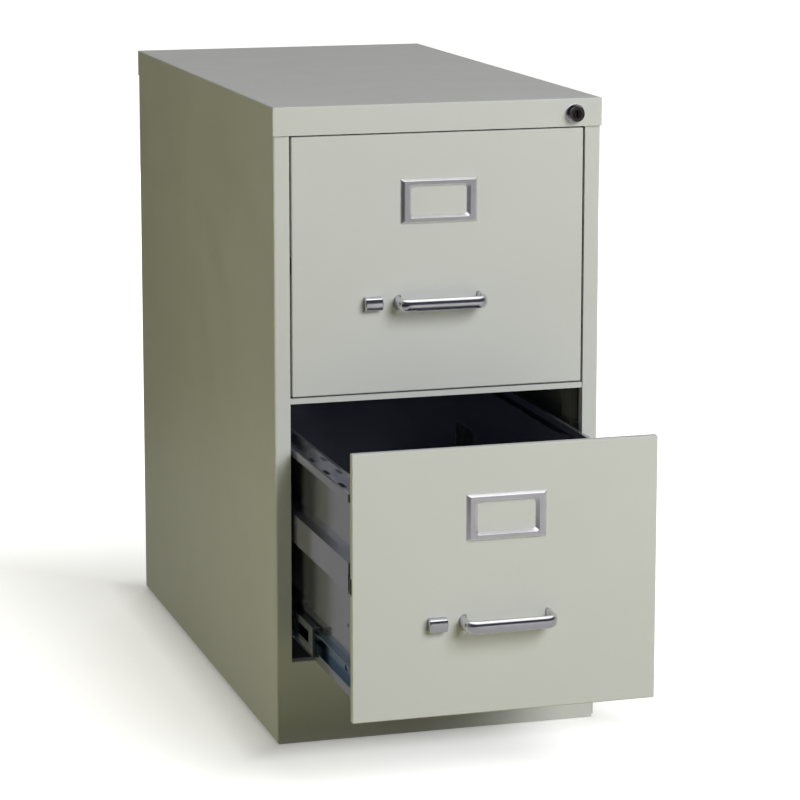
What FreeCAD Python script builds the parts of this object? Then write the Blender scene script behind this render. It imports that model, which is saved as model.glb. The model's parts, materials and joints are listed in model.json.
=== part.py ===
import FreeCAD, Part

# Two-drawer vertical filing cabinet for letter-size hanging folders.
#
# Frame: the origin is on the floor under the middle of the case, +X to the right,
# +Y to the back and +Z up, in millimetres. The fronts face -Y. The upper drawer is
# shut and the lower drawer stands part way out.

import math
import os
import re

import Sketcher

SIZES = {
    # Case
    "cabinet_width": 381.0,
    "cabinet_depth": 711.2,
    "cabinet_height": 720.7,
    "panel_gauge": 0.9,
    "cap_gauge": 1.0,
    "cap_gap": 0.1,
    "cap_edge_radius": 1.6,
    "fascia_height": 31.75,
    "fascia_stand": 2.3,
    "fascia_lip": 13.0,
    "panel_bottom": 3.0,
    "panel_top_gap": 0.5,
    "panel_corner_radius": 2.5,
    "stile_width": 17.9,
    "stile_return": 12.0,
    "rear_flange": 20.0,
    "back_gauge": 0.8,
    "back_top_gap": 1.2,
    "seam_gap": 0.3,
    "touch_gap": 0.1,
    # Base
    "kick_height": 94.8,
    "kick_step": 2.9,
    "kick_gauge": 1.0,
    "kick_edge_radius": 0.8,
    "kick_ledge": 14.0,
    "kick_lip": 7.0,
    "kick_side_cover": 2.7,
    "base_gauge": 1.2,
    "base_web_height": 40.0,
    "base_flange": 25.0,
    "base_side_gap": 1.5,
    "base_rear_gap": 0.5,
    # Rail between the drawers
    "rail_height": 6.2,
    "rail_setback": 1.0,
    "rail_depth": 14.0,
    # Gaps round the drawer fronts
    "front_side_gap": 2.3,
    "gap_above_kick": 0.8,
    "gap_under_rail": 4.7,
    "gap_over_rail": 1.6,
    "gap_under_fascia": 1.65,
    # Drawer front
    "front_thickness": 20.0,
    "skin_return": 7.0,
    "skin_gauge": 0.9,
    "skin_edge_radius": 1.5,
    "liner_gap": 0.2,
    "liner_inset": 5.0,
    "liner_edge_radius": 0.8,
    # How far the lower drawer stands out
    "lower_drawer_out": 243.0,
    # Drawer box
    "drawer_gauge": 0.9,
    "drawer_bottom_height": 13.0,
    "drawer_floor_gauge": 0.8,
    "drawer_floor_flange": 11.0,
    "drawer_front_flange": 10.0,
    "drawer_rear_room": 39.5,
    "bead_drop": 73.5,
    "bead_height": 33.0,
    "bead_reach": 11.0,
    "bead_slope": 1.0,
    "hem_top_drop": 46.6,
    "hem_height": 9.0,
    "hang_rail_height": 9.0,
    "hang_rail_inset": 1.5,
    "hang_rail_flange": 4.0,
    "hem_slot_length": 22.0,
    "hem_slot_width": 5.0,
    "hem_slot_count": 10,
    "hem_slot_pitch": 63.0,
    "dimple_size": 7.0,
    "dimple_setback": 60.0,
    "dimple_height": 90.0,
    "back_drop": 28.0,
    "back_hem": 11.0,
    # Slides
    "slide_inset": 1.8,
    "slide_thickness": 12.7,
    "slide_gauge": 1.2,
    "slide_height": 42.5,
    "slide_rear_room": 32.5,
    "slide_front_gap": 1.3,
    "outer_half_height": 20.5,
    "outer_flange": 9.2,
    "middle_half_height": 15.5,
    "middle_web_gap": 1.3,
    "middle_flange": 7.9,
    "middle_bulge": 0.8,
    "middle_bulge_height": 6.5,
    "middle_setback": 26.0,
    "middle_rear_room": 19.8,
    "middle_window_length": 44.0,
    "middle_window_height": 13.0,
    "middle_window_setback": 21.0,
    "inner_half_height": 11.5,
    "inner_flange": 7.5,
    "inner_slide_gap": 2.3,
    "inner_slot_length": 12.0,
    "inner_slot_height": 6.0,
    "inner_slot_setback": 34.0,
    "stop_length": 4.0,
    "stop_rim": 1.0,
    "stop_side_rim": 0.6,
    "cage_gauge": 0.5,
    "cage_length": 140.0,
    "outer_cage_setback": 182.0,
    "inner_cage_setback": 222.0,
    "cage_reach": 7.3,
    "outer_ball_inset": 4.65,
    "inner_cage_width": 5.4,
    "ball_count": 5,
    "ball_pitch": 30.0,
    "ball_clearance": 0.3,
    "ball_hole_clearance": 0.1,
    # Uprights that carry the slides
    "upright_setback": 14.0,
    "upright_width": 30.0,
    "upright_rear_room": 24.5,
    "upright_gap": 0.2,
    "upright_top_gap": 4.7,
    "rivet_radius": 2.4,
    "rivet_clearance": 0.05,
    "rivet_head_radius": 4.2,
    "rivet_head_height": 1.6,
    "rivet_spacing": 16.0,
    # Handle
    "handle_height": 101.3,
    "handle_width": 104.0,
    "handle_reach": 29.0,
    "handle_bar_height": 14.0,
    "handle_gauge": 5.5,
    "handle_corner_radius": 15.0,
    "handle_crown_radius": 3.5,
    "handle_foot_height": 17.0,
    "handle_foot_width": 8.5,
    "handle_foot_gauge": 2.2,
    "screw_radius": 1.9,
    "screw_depth": 9.0,
    "screw_clearance": 0.05,
    "screw_end_room": 1.0,
    "screw_hole_clearance": 0.5,
    "screw_head_radius": 4.0,
    "screw_head_height": 2.2,
    # Label holder
    "label_height": 214.0,
    "label_width": 88.9,
    "label_tall": 50.0,
    "label_opening_width": 69.5,
    "label_opening_tall": 31.0,
    "label_stand": 4.5,
    "label_bevel": 3.2,
    "label_outer_radius": 1.5,
    "label_inner_radius": 2.5,
    # Thumb latch
    "button_offset": 24.75,
    "button_width": 20.5,
    "button_height": 14.6,
    "button_reach": 9.7,
    "button_round": 2.2,
    "button_gap": 0.2,
    "stem_width": 6.0,
    "stem_height": 6.0,
    "stem_inset": 4.5,
    "stem_gap": 0.4,
    "latch_travel": 7.0,
    "bolt_plate_gauge": 1.5,
    "bolt_plate_setback": 2.5,
    "bolt_height": 146.0,
    "bolt_tall": 16.0,
    "bolt_leg_width": 10.0,
    "bolt_thickness": 6.0,
    "bolt_setback": 7.8,
    "bolt_nose": 10.1,
    "bolt_gap": 0.6,
    "bolt_stand": 1.9,
    "bolt_clear": 0.5,
    "bolt_notch_setback": 2.5,
    "keeper_lip": 6.5,
    # Lock
    "lock_inset": 13.5,
    "lock_drop": 17.2,
    "lock_ring_radius": 11.25,
    "lock_ring_stand": 2.0,
    "lock_tube_radius": 9.5,
    "lock_tube_length": 12.6,
    "lock_hole_gap": 0.1,
    "plunger_radius": 8.5,
    "plunger_stand": 9.2,
    "plunger_length": 31.3,
    "plug_radius": 5.5,
    "plug_inset": 0.3,
    "lock_fit": 0.05,
    "face_recess_radius": 7.5,
    "face_recess_depth": 0.6,
    "keyway_width": 1.8,
    "keyway_height": 8.0,
    "keyway_depth": 14.0,
    "cam_gap": 0.2,
    "cam_thickness": 2.0,
    "cam_width": 15.0,
    "cam_height": 5.0,
    "lock_travel": 7.0,
    "pin_radius": 2.0,
    "pin_setback": 26.8,
    "pin_gap": 0.15,
    "pin_overhang": 2.5,
    # Lock bar
    "bar_inset": 4.5,
    "bar_gauge": 2.0,
    "bar_width": 14.0,
    "bar_front_setback": 15.3,
    "bar_head_width": 20.0,
    "bar_head_height": 26.0,
    "bar_head_above_pin": 12.5,
    "bar_tail": 12.0,
    "hook_reach": 12.0,
    "hook_thickness": 4.0,
    "hook_height": 11.5,
    "hook_gap": 1.5,
    "striker_drop": 46.0,
    "striker_tall": 17.0,
    "striker_gauge": 1.2,
    "striker_base": 20.0,
    "striker_reach": 13.0,
    "striker_gap": 1.0,
    "guide_gauge": 1.5,
    "guide_height": 16.0,
    "guide_margin": 4.0,
    "guide_gap": 0.3,
    "upper_guide_drop": 70.0,
    "lower_guide_rise": 30.0,
}

PLACES = {
    # Case planes
    "case_half": "cabinet_width / 2 - cap_gauge - cap_gap",
    "case_front": "fascia_stand - cabinet_depth / 2",
    "case_back": "cabinet_depth / 2 - cap_gauge - cap_gap",
    "cap_underside": "cabinet_height - cap_gauge",
    "fascia_front": "-cabinet_depth / 2",
    "fascia_bottom": "cabinet_height - fascia_height",
    "panel_top": "cap_underside - panel_top_gap",
    "panel_inside": "case_half - panel_gauge",
    "opening_half": "case_half - stile_width",
    "between_stiles": "opening_half - seam_gap",
    "seam_height": "kick_height - kick_step",
    "kick_half": "case_half - kick_side_cover",
    "kick_back": "case_front + kick_gauge",
    "back_panel_back": "case_back - panel_gauge - touch_gap",
    "back_panel_front": "back_panel_back - back_gauge",
    "base_half": "panel_inside - base_side_gap",
    "base_front": "kick_back + touch_gap",
    "base_back": "back_panel_front - base_rear_gap",
    # Drawer fronts
    "front_half": "opening_half - front_side_gap",
    "front_height": "(fascia_bottom - gap_under_fascia - gap_over_rail - rail_height"
                    " - gap_under_rail - gap_above_kick - kick_height) / 2",
    "lower_front_bottom": "kick_height + gap_above_kick",
    "rail_bottom": "lower_front_bottom + front_height + gap_under_rail",
    "upper_front_bottom": "rail_bottom + rail_height + gap_over_rail",
    "skin_inside": "case_front + skin_gauge",
    "skin_back": "case_front + skin_return",
    "front_back": "case_front + front_thickness",
    "liner_half": "front_half - liner_inset",
    "liner_low": "liner_inset",
    "liner_high": "front_height - liner_inset",
    # Drawer box
    "wall_half": "opening_half - slide_inset - slide_thickness",
    "wall_inside": "wall_half - drawer_gauge",
    "box_front": "front_back + touch_gap",
    "box_back": "case_back - drawer_rear_room",
    "hem_top": "front_height - hem_top_drop",
    "hem_bottom": "hem_top - hem_height",
    "hang_rail": "wall_half - hang_rail_inset",
    "bead_top": "hem_top - bead_drop",
    "bead_bottom": "bead_top - bead_height",
    "back_height": "hem_top - back_drop",
    "floor_under": "drawer_bottom_height + drawer_gauge + touch_gap",
    "floor_top": "floor_under + drawer_floor_gauge",
    # Slides
    "slide_half": "opening_half - slide_inset",
    "slide_front": "front_back + slide_front_gap",
    "slide_back": "case_back - slide_rear_room",
    "outer_inside": "slide_half - slide_gauge",
    "middle_half": "outer_inside - middle_web_gap",
    "middle_low": "middle_half - middle_bulge",
    "middle_front": "slide_front + middle_setback",
    "middle_back": "slide_back - middle_rear_room",
    "inner_web": "wall_half + touch_gap",
    "inner_front": "front_back + inner_slide_gap",
    "outer_race": "(outer_half_height - slide_gauge + middle_half_height) / 2",
    "outer_ball": "(outer_half_height - slide_gauge - middle_half_height) / 2 - ball_clearance",
    "inner_race": "(middle_half_height - slide_gauge + inner_half_height) / 2",
    "inner_ball": "(middle_half_height - slide_gauge - inner_half_height) / 2 - ball_clearance",
    "upright_front": "slide_front + upright_setback",
    "upright_back": "case_back - upright_rear_room",
    "upright_bottom": "base_web_height + touch_gap",
    "upright_top": "cap_underside - upright_top_gap",
    # Latch
    "bolt_plate_front": "skin_inside + bolt_plate_setback",
    "bolt_plate_back": "bolt_plate_front + bolt_plate_gauge",
    "bolt_front": "case_front + bolt_setback",
    "bolt_back": "bolt_front + bolt_thickness",
    "bolt_bottom": "bolt_height - bolt_tall / 2",
    "bolt_top": "bolt_height + bolt_tall / 2",
    "bolt_heel": "liner_half - bolt_nose",
    "button_left": "-(handle_width / 2 + button_offset + button_width / 2)",
    "stem_left": "button_left + stem_inset",
    # Lock
    "lock_place": "opening_half - lock_inset",
    "lock_height": "cabinet_height - lock_drop",
    "tube_back": "fascia_front + lock_tube_length",
    "plunger_front": "fascia_front - plunger_stand",
    "plunger_back": "plunger_front + plunger_length",
    "pin_place": "plunger_front + pin_setback",
    "bar_place": "opening_half + bar_inset",
    "bar_front": "case_front + bar_front_setback",
    "bar_back": "bar_front + bar_width",
    "bar_outside": "bar_place + bar_gauge",
    "bar_head_front": "bar_back - bar_head_width",
    "bar_top": "lock_height + bar_head_above_pin",
    "striker_height": "hem_bottom - striker_drop",
    "striker_front": "bar_front + bar_width - hook_gap - striker_gap / 2",
    "hook_back": "striker_front - striker_gap",
    "hook_front": "hook_back - hook_thickness",
    "hook_bottom": "striker_height + striker_tall + hook_gap",
    "hook_top": "hook_bottom + hook_height",
    "hook_tip": "bar_place - hook_reach",
}

SIDES = {"left": "-1", "right": "1"}
DRAWERS = {
    "upper": {"bottom": "upper_front_bottom", "out": "0"},
    "lower": {"bottom": "lower_front_bottom", "out": "lower_drawer_out"},
}
# Outward normals of the three origin planes along their world axes.
PLANES = {"XY_Plane": 1, "XZ_Plane": -1, "YZ_Plane": 1}
WORD = re.compile(r"[a-z]\w*")
# How far a cut runs past the face that it opens, and a stem into its block.
PAST = "1"
# Places closer than this are the same, and an edge shorter than this is short.
SAME_PLACE = 0.01
SHORT_EDGE = 0.5

doc = FreeCAD.newDocument("FilingCabinet")
sheet = doc.addObject("Spreadsheet::Sheet", "Sizes")
pieces = []


def fill_sheet():
    """One row for each size: its name, its value and the value's alias."""
    for row, (name, size) in enumerate(SIZES.items(), start=1):
        sheet.set(f"A{row}", name)
        sheet.set(f"B{row}", str(size))
        sheet.setAlias(f"B{row}", name)
    doc.recompute()


def bind(formula):
    """A formula in plain words as an expression on the sheet's cells."""
    def expand(match):
        word = match.group(0)
        if word in PLACES:
            return "(" + bind(PLACES[word]) + ")"
        return "Sizes." + word if word in SIZES else word
    return WORD.sub(expand, str(formula))


def value(formula):
    """The formula's value at the sheet's present sizes."""
    return float(sheet.evalExpression(bind(formula)))


def new_body(label, lift="0", back="0"):
    """An empty body of its own, lifted and pushed back by the given formulas."""
    body = doc.addObject("PartDesign::Body", label)
    body.Label = label
    body.setExpression("Placement.Base.y", bind(back))
    body.setExpression("Placement.Base.z", bind(lift))
    pieces.append(body)
    return body


def sketch(body, name, plane, outlines, level):
    """A sketch on an origin plane, moved to a level, with every corner bound.

    An outline is a list of (across, up) corners, or one (across, up, radius) circle.
    """
    result = body.newObject("Sketcher::SketchObject", f"{body.Name}_{name}_sketch")
    origin = next(item for item in body.Origin.OriginFeatures if item.Role == plane)
    result.AttachmentSupport = [(origin, "")]
    result.MapMode = "FlatFace"
    result.setExpression("AttachmentOffset.Base.z", bind(f"{PLANES[plane]} * ({level})"))
    for outline in outlines:
        if isinstance(outline, tuple):
            draw_circle(result, *outline)
        else:
            draw_polygon(result, outline)
    return result


def pin_point(target, geometry, end, across, up):
    """Bind one point of a sketch to its two formulas."""
    for kind, formula in (("DistanceX", across), ("DistanceY", up)):
        index = target.addConstraint(
            Sketcher.Constraint(kind, -1, 1, geometry, end, value(formula)))
        target.setExpression(f"Constraints[{index}]", bind(formula))


def draw_circle(target, across, up, radius):
    centre = FreeCAD.Vector(value(across), value(up), 0)
    circle = Part.Circle(centre, FreeCAD.Vector(0, 0, 1), value(radius))
    index = target.addGeometry(circle)
    pin_point(target, index, 3, across, up)
    bound = target.addConstraint(Sketcher.Constraint("Radius", index, value(radius)))
    target.setExpression(f"Constraints[{bound}]", bind(radius))


def draw_polygon(target, corners):
    first = target.GeometryCount
    points = [FreeCAD.Vector(value(across), value(up), 0) for across, up in corners]
    count = len(points)
    for index in range(count):
        line = Part.LineSegment(points[index], points[(index + 1) % count])
        target.addGeometry(line)
    for index in range(count):
        following = first + (index + 1) % count
        target.addConstraint(
            Sketcher.Constraint("Coincident", first + index, 2, following, 1))
    for index, (across, up) in enumerate(corners):
        pin_point(target, first + index, 1, across, up)


def pad(body, name, plane, outlines, start, end):
    """Add a slab between two levels of the plane's world axis, start below end."""
    feature = body.newObject("PartDesign::Pad", f"{body.Name}_{name}")
    feature.Profile = sketch(body, name, plane, outlines, start)
    feature.setExpression("Length", bind(f"({end}) - ({start})"))
    feature.Reversed = PLANES[plane] < 0
    body.Tip = feature
    return feature


def pocket(body, name, plane, outlines, start, end):
    """Cut a slab away between two levels, and make sure that it takes something."""
    doc.recompute()
    before = body.Shape.Volume
    feature = body.newObject("PartDesign::Pocket", f"{body.Name}_{name}")
    feature.Profile = sketch(body, name, plane, outlines, start)
    feature.setExpression("Length", bind(f"({end}) - ({start})"))
    feature.Reversed = PLANES[plane] > 0
    body.Tip = feature
    doc.recompute()
    if near(body.Shape.Volume, before):
        raise ValueError(f"{body.Name} {name} cuts nothing")
    return feature


def near(first, second):
    return abs(first - second) < SAME_PLACE


def lies_on(edge, **planes):
    """Whether an edge lies on the given planes, such as x=10."""
    points = [vertex.Point for vertex in edge.Vertexes] + [edge.CenterOfMass]
    return all(near(getattr(point, axis), place)
               for axis, place in planes.items() for point in points)


def runs_along(edge, axis):
    """Whether an edge's box is long on this axis only."""
    box = edge.BoundBox
    lengths = {"x": box.XLength, "y": box.YLength, "z": box.ZLength}
    return all((length > SHORT_EDGE) == (letter == axis)
               for letter, length in lengths.items())


def dress(body, name, kind, size_name, size, wanted):
    """A fillet or chamfer of the bound size on the wanted edges."""
    doc.recompute()
    base = body.Tip
    names = [f"Edge{index}" for index, edge in enumerate(base.Shape.Edges, start=1)
             if wanted(edge)]
    feature = body.newObject(f"PartDesign::{kind}", f"{body.Name}_{name}")
    feature.Base = (base, names)
    feature.setExpression(size_name, bind(size))
    body.Tip = feature
    return feature


def fillet(body, name, radius, wanted):
    return dress(body, name, "Fillet", "Radius", radius, wanted)


def box(half, low, high):
    """Corners of a rectangle about the middle plane, from a low to a high level."""
    return [(f"-({half})", low), (half, low), (half, high), (f"-({half})", high)]


def rectangle(left, right, low, high):
    return [(left, low), (right, low), (right, high), (left, high)]


def on_side(sign, outline):
    """The outline as drawn for the right side, or mirrored to the left."""
    if isinstance(outline, tuple):
        across, up, radius = outline
        return (f"{sign} * ({across})", up, radius)
    return [(f"{sign} * ({across})", up) for across, up in outline]


def strip(corners, gauge):
    """A bent sheet's outline: the given face, and its copy one gauge to the left."""
    points = [(value(across), value(up)) for across, up in corners]
    runs = []
    for (x0, y0), (x1, y1) in zip(points, points[1:]):
        length = math.hypot(x1 - x0, y1 - y0)
        runs.append(((y0 - y1) / length, (x1 - x0) / length))
    normals = [runs[0]] + runs + [runs[-1]]
    copy = []
    for index, (across, up) in enumerate(corners):
        (ax, ay), (bx, by) = normals[index], normals[index + 1]
        share = 1 + ax * bx + ay * by
        shift_x = (ax + bx) / share
        shift_y = (ay + by) / share
        copy.append((f"({across}) + {shift_x:.6f} * {gauge}",
                     f"({up}) + {shift_y:.6f} * {gauge}"))
    return list(corners) + copy[::-1]


def block(name, low, high):
    """A plain box between two corners, each given by three formulas."""
    result = doc.addObject("Part::Box", name)
    for side, axis, start, end in zip(("Length", "Width", "Height"), "xyz", low, high):
        result.setExpression(f"Placement.Base.{axis}", bind(start))
        result.setExpression(side, bind(f"({end}) - ({start})"))
    return result


def rod(name, axis, start, length, radius):
    """A cylinder that begins at a point and runs along +X or +Z."""
    result = doc.addObject("Part::Cylinder", name)
    if axis == "x":
        result.Placement.Rotation = FreeCAD.Rotation(FreeCAD.Vector(0, 1, 0), 90)
    for letter, place in zip("xyz", start):
        result.setExpression(f"Placement.Base.{letter}", bind(place))
    result.setExpression("Height", bind(length))
    result.setExpression("Radius", bind(radius))
    return result


def cut(name, base, tools):
    """The base with each tool taken away, and a test that something went."""
    tool = tools[0]
    if len(tools) > 1:
        tool = doc.addObject("Part::MultiFuse", f"{name}_tools")
        tool.Shapes = tools
    result = doc.addObject("Part::Cut", name)
    result.Base = base
    result.Tool = tool
    doc.recompute()
    if near(result.Shape.Volume, base.Shape.Volume):
        raise ValueError(f"{name} cuts nothing")
    return result


def fuse(name, parts):
    result = doc.addObject("Part::MultiFuse", name)
    result.Shapes = parts
    return result


def group(label, members, lift="0", back="0"):
    """Separate solids of one kind, kept as one sub-part."""
    result = doc.addObject("Part::Compound", label)
    result.Label = label
    result.Links = members
    result.setExpression("Placement.Base.y", bind(back))
    result.setExpression("Placement.Base.z", bind(lift))
    pieces.append(result)
    return result


def span(sign, inner, outer):
    """Two X formulas in rising order for a slab between two distances from the middle."""
    return (inner, outer) if sign == "1" else (f"-({outer})", f"-({inner})")


def side_panel(side):
    """Folded side: front stile with its return, the side itself and a rear flange."""
    sign = SIDES[side]
    body = new_body(f"{side}_side_panel")
    face = [
        ("opening_half", "case_front + stile_return"),
        ("opening_half", "case_front"),
        ("case_half", "case_front"),
        ("case_half", "case_back"),
        ("case_half - rear_flange", "case_back"),
    ]
    outline = strip(face, "panel_gauge")
    pad(body, "fold", "XY_Plane", [on_side(sign, outline)], "panel_bottom", "panel_top")
    half, inside = value("case_half"), value("panel_inside")
    front = value("case_front")
    depth = front + value("panel_gauge")
    flip = float(sign)
    fillet(body, "corner", "panel_corner_radius",
           lambda edge: lies_on(edge, x=flip * half, y=front))
    fillet(body, "inner_corner", "panel_corner_radius - panel_gauge",
           lambda edge: lies_on(edge, x=flip * inside, y=depth))
    notch = rectangle(f"opening_half - {PAST}", "kick_half + seam_gap / 2",
                      f"case_front - {PAST}", f"case_front + stile_return + {PAST}")
    pocket(body, "kick_notch", "XY_Plane", [on_side(sign, notch)],
           f"panel_bottom - {PAST}", "seam_height")
    if side == "left":
        for name, drawer in DRAWERS.items():
            keeper = rectangle("case_front + keeper_lip", f"case_front + stile_return + {PAST}",
                               f"{drawer['bottom']} + bolt_bottom - bolt_stand",
                               f"{drawer['bottom']} + bolt_top + bolt_stand")
            pocket(body, f"{name}_keeper", "YZ_Plane", [keeper],
                   f"-(opening_half + panel_gauge + {PAST})", f"-(opening_half - {PAST})")


def back_panel():
    body = new_body("back_panel")
    outline = box("panel_inside - back_top_gap", "panel_bottom", "cap_underside - back_top_gap")
    pad(body, "sheet", "XZ_Plane", [outline], "back_panel_front", "back_panel_back")


def top_cap():
    """Top with a skirt on four sides. The front skirt holds the lock."""
    body = new_body("top_cap")
    outline = box("cabinet_width / 2", "-cabinet_depth / 2", "cabinet_depth / 2")
    pad(body, "block", "XY_Plane", [outline], "fascia_bottom", "cabinet_height")
    top = value("cabinet_height")
    fillet(body, "edges", "cap_edge_radius",
           lambda edge: lies_on(edge, z=top) or runs_along(edge, "z"))
    hollow = box("cabinet_width / 2 - cap_gauge", "cap_gauge - cabinet_depth / 2",
                 "cabinet_depth / 2 - cap_gauge")
    pocket(body, "hollow", "XY_Plane", [hollow], "fascia_bottom", "cap_underside")
    lip = box("between_stiles", "cap_gauge / 2 - cabinet_depth / 2",
              "fascia_lip - cabinet_depth / 2")
    pad(body, "lip", "XY_Plane", [lip], "fascia_bottom", "fascia_bottom + cap_gauge")
    hole = ("lock_place", "lock_height", "lock_tube_radius + lock_hole_gap")
    pocket(body, "lock_hole", "XZ_Plane", [hole],
           f"fascia_front - {PAST}", f"fascia_front + cap_gauge + {PAST}")


def mid_rail():
    """Channel between the drawers, open to the back, between the two stiles."""
    body = new_body("mid_rail")
    face = [
        ("case_front + rail_setback + rail_depth", "rail_bottom + rail_height"),
        ("case_front + rail_setback", "rail_bottom + rail_height"),
        ("case_front + rail_setback", "rail_bottom"),
        ("case_front + rail_setback + rail_depth", "rail_bottom"),
    ]
    pad(body, "channel", "YZ_Plane", [strip(face, "panel_gauge")],
        "-(between_stiles)", "between_stiles")


def kick_plate():
    """Plate under the lower drawer, with a step under each stile and a ledge behind."""
    body = new_body("kick_plate")
    plate = [
        ("-(kick_half)", "0"),
        ("kick_half", "0"),
        ("kick_half", "seam_height"),
        ("between_stiles", "seam_height"),
        ("between_stiles", "kick_height"),
        ("-(between_stiles)", "kick_height"),
        ("-(between_stiles)", "seam_height"),
        ("-(kick_half)", "seam_height"),
    ]
    pad(body, "plate", "XZ_Plane", [plate], "case_front", "kick_back")
    ledge = box("between_stiles", "case_front + kick_gauge / 2", "case_front + kick_ledge")
    pad(body, "ledge", "XY_Plane", [ledge], "kick_height - kick_gauge", "kick_height")
    lip = box("between_stiles", "kick_height - kick_lip", "kick_height")
    pad(body, "lip", "XZ_Plane", [lip], "case_front + kick_ledge - kick_gauge",
        "case_front + kick_ledge")
    front, top = value("case_front"), value("kick_height")
    fillet(body, "edge", "kick_edge_radius", lambda edge: lies_on(edge, y=front, z=top))


def base_frame():
    """Angle ring that the case stands on."""
    body = new_body("base_frame")
    outer = box("base_half", "base_front", "base_back")
    web = box("base_half - base_gauge", "base_front + base_gauge", "base_back - base_gauge")
    flange = box("base_half - base_flange", "base_front + base_flange",
                 "base_back - base_flange")
    pad(body, "flange", "XY_Plane", [outer, flange], "0", "base_gauge")
    pad(body, "web", "XY_Plane", [outer, web], "0", "base_web_height")


def upright(end, side):
    """Channel from the base to the cap, open to the side panel, that carries slides."""
    sign = SIDES[side]
    body = new_body(f"{end}_upright_{side}")
    front = "upright_front" if end == "front" else "upright_back - upright_width"
    back = f"{front} + upright_width"
    outer = "panel_inside - upright_gap"
    face = [(outer, back), ("slide_half", back), ("slide_half", front), (outer, front)]
    outline = strip(face, "slide_gauge")
    pad(body, "channel", "XY_Plane", [on_side(sign, outline)], "upright_bottom", "upright_top")
    low, high = span(sign, f"slide_half - {PAST}", f"slide_half + slide_gauge + {PAST}")
    holes = [(place[0], place[1], "rivet_radius + rivet_clearance")
             for place in rivet_places(f"{front} + upright_width / 2")]
    pocket(body, "rivet_holes", "YZ_Plane", holes, low, high)


def rivet_places(middle):
    """Where one upright takes its four rivets, two for each drawer's slide."""
    places = []
    for drawer in DRAWERS.values():
        for step in ("-1", "1"):
            places.append((f"{middle} + {step} * rivet_spacing / 2",
                           f"{drawer['bottom']} + slide_height"))
    return places


def slide_rivets():
    """Flush rivets that hold the outer slide members to the uprights."""
    rivets = []
    middles = ["upright_front + upright_width / 2", "upright_back - upright_width / 2"]
    for side, sign in SIDES.items():
        for middle in middles:
            for along, up in rivet_places(middle):
                name = f"rivet_{side}_{len(rivets)}"
                low, high = span(sign, "outer_inside", "slide_half + slide_gauge + touch_gap")
                shank = rod(f"{name}_shank", "x", (low, along, up), f"({high}) - ({low})",
                            "rivet_radius")
                low, high = span(sign, "slide_half + slide_gauge + touch_gap",
                                 "slide_half + slide_gauge + touch_gap + rivet_head_height")
                head = rod(f"{name}_head", "x", (low, along, up), "rivet_head_height",
                           "rivet_head_radius")
                rivets.append(fuse(name, [shank, head]))
    group("slide_rivets", rivets)


def outer_slide(name, drawer, side):
    """Slide member fixed to the uprights: a channel open to the drawer."""
    sign = SIDES[side]
    body = new_body(f"{name}_{side}_outer_slide", lift=f"{drawer['bottom']} + slide_height")
    tip = "slide_half - outer_flange"
    face = [
        (tip, "-outer_half_height"),
        ("slide_half", "-outer_half_height"),
        ("slide_half", "outer_half_height"),
        (tip, "outer_half_height"),
    ]
    pad(body, "channel", "XZ_Plane", [on_side(sign, strip(face, "slide_gauge"))],
        "slide_front", "slide_back")
    low, high = span(sign, f"outer_inside - {PAST}", f"slide_half + {PAST}")
    holes = []
    for middle in ("upright_front + upright_width / 2", "upright_back - upright_width / 2"):
        for step in ("-1", "1"):
            holes.append((f"{middle} + {step} * rivet_spacing / 2", "0",
                          "rivet_radius + rivet_clearance"))
    pocket(body, "rivet_holes", "YZ_Plane", holes, low, high)


def middle_slide(name, drawer, side):
    """Slide member that runs half as far as the drawer, with bulged ball races."""
    sign = SIDES[side]
    body = new_body(f"{name}_{side}_middle_slide",
                    lift=f"{drawer['bottom']} + slide_height", back=f"-{drawer['out']} / 2")
    tip = "middle_half - middle_flange"
    race = "middle_half_height - middle_bulge"
    step = "middle_half_height - middle_bulge - middle_bulge_height"
    upper = [
        ("middle_low", f"{step} - middle_bulge"),
        ("middle_half", step),
        ("middle_half", race),
        ("middle_low", "middle_half_height"),
        (tip, "middle_half_height"),
    ]
    lower = [(across, f"-({up})") for across, up in upper[::-1]]
    outline = strip(lower + upper, "slide_gauge")
    pad(body, "channel", "XZ_Plane", [on_side(sign, outline)], "middle_front", "middle_back")
    start = "middle_front + middle_window_setback"
    window = rectangle(start, f"{start} + middle_window_length",
                       "-middle_window_height / 2", "middle_window_height / 2")
    low, high = span(sign, f"middle_low - slide_gauge - {PAST}", f"middle_half + {PAST}")
    pocket(body, "window", "YZ_Plane", [window], low, high)


def inner_slide(name, drawer, side):
    """Slide member on the drawer's wall: a channel open to the case."""
    sign = SIDES[side]
    body = new_body(f"{name}_{side}_inner_slide",
                    lift=f"{drawer['bottom']} + slide_height", back=f"-{drawer['out']}")
    tip = "inner_web + inner_flange"
    face = [
        (tip, "inner_half_height"),
        ("inner_web", "inner_half_height"),
        ("inner_web", "-inner_half_height"),
        (tip, "-inner_half_height"),
    ]
    pad(body, "channel", "XZ_Plane", [on_side(sign, strip(face, "slide_gauge"))],
        "inner_front", "slide_back")
    start = "inner_front + inner_slot_setback"
    slot = rectangle(start, f"{start} + inner_slot_length",
                     "-inner_slot_height / 2", "inner_slot_height / 2")
    low, high = span(sign, f"inner_web - {PAST}", f"inner_web + slide_gauge + {PAST}")
    pocket(body, "slot", "YZ_Plane", [slot], low, high)


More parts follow.
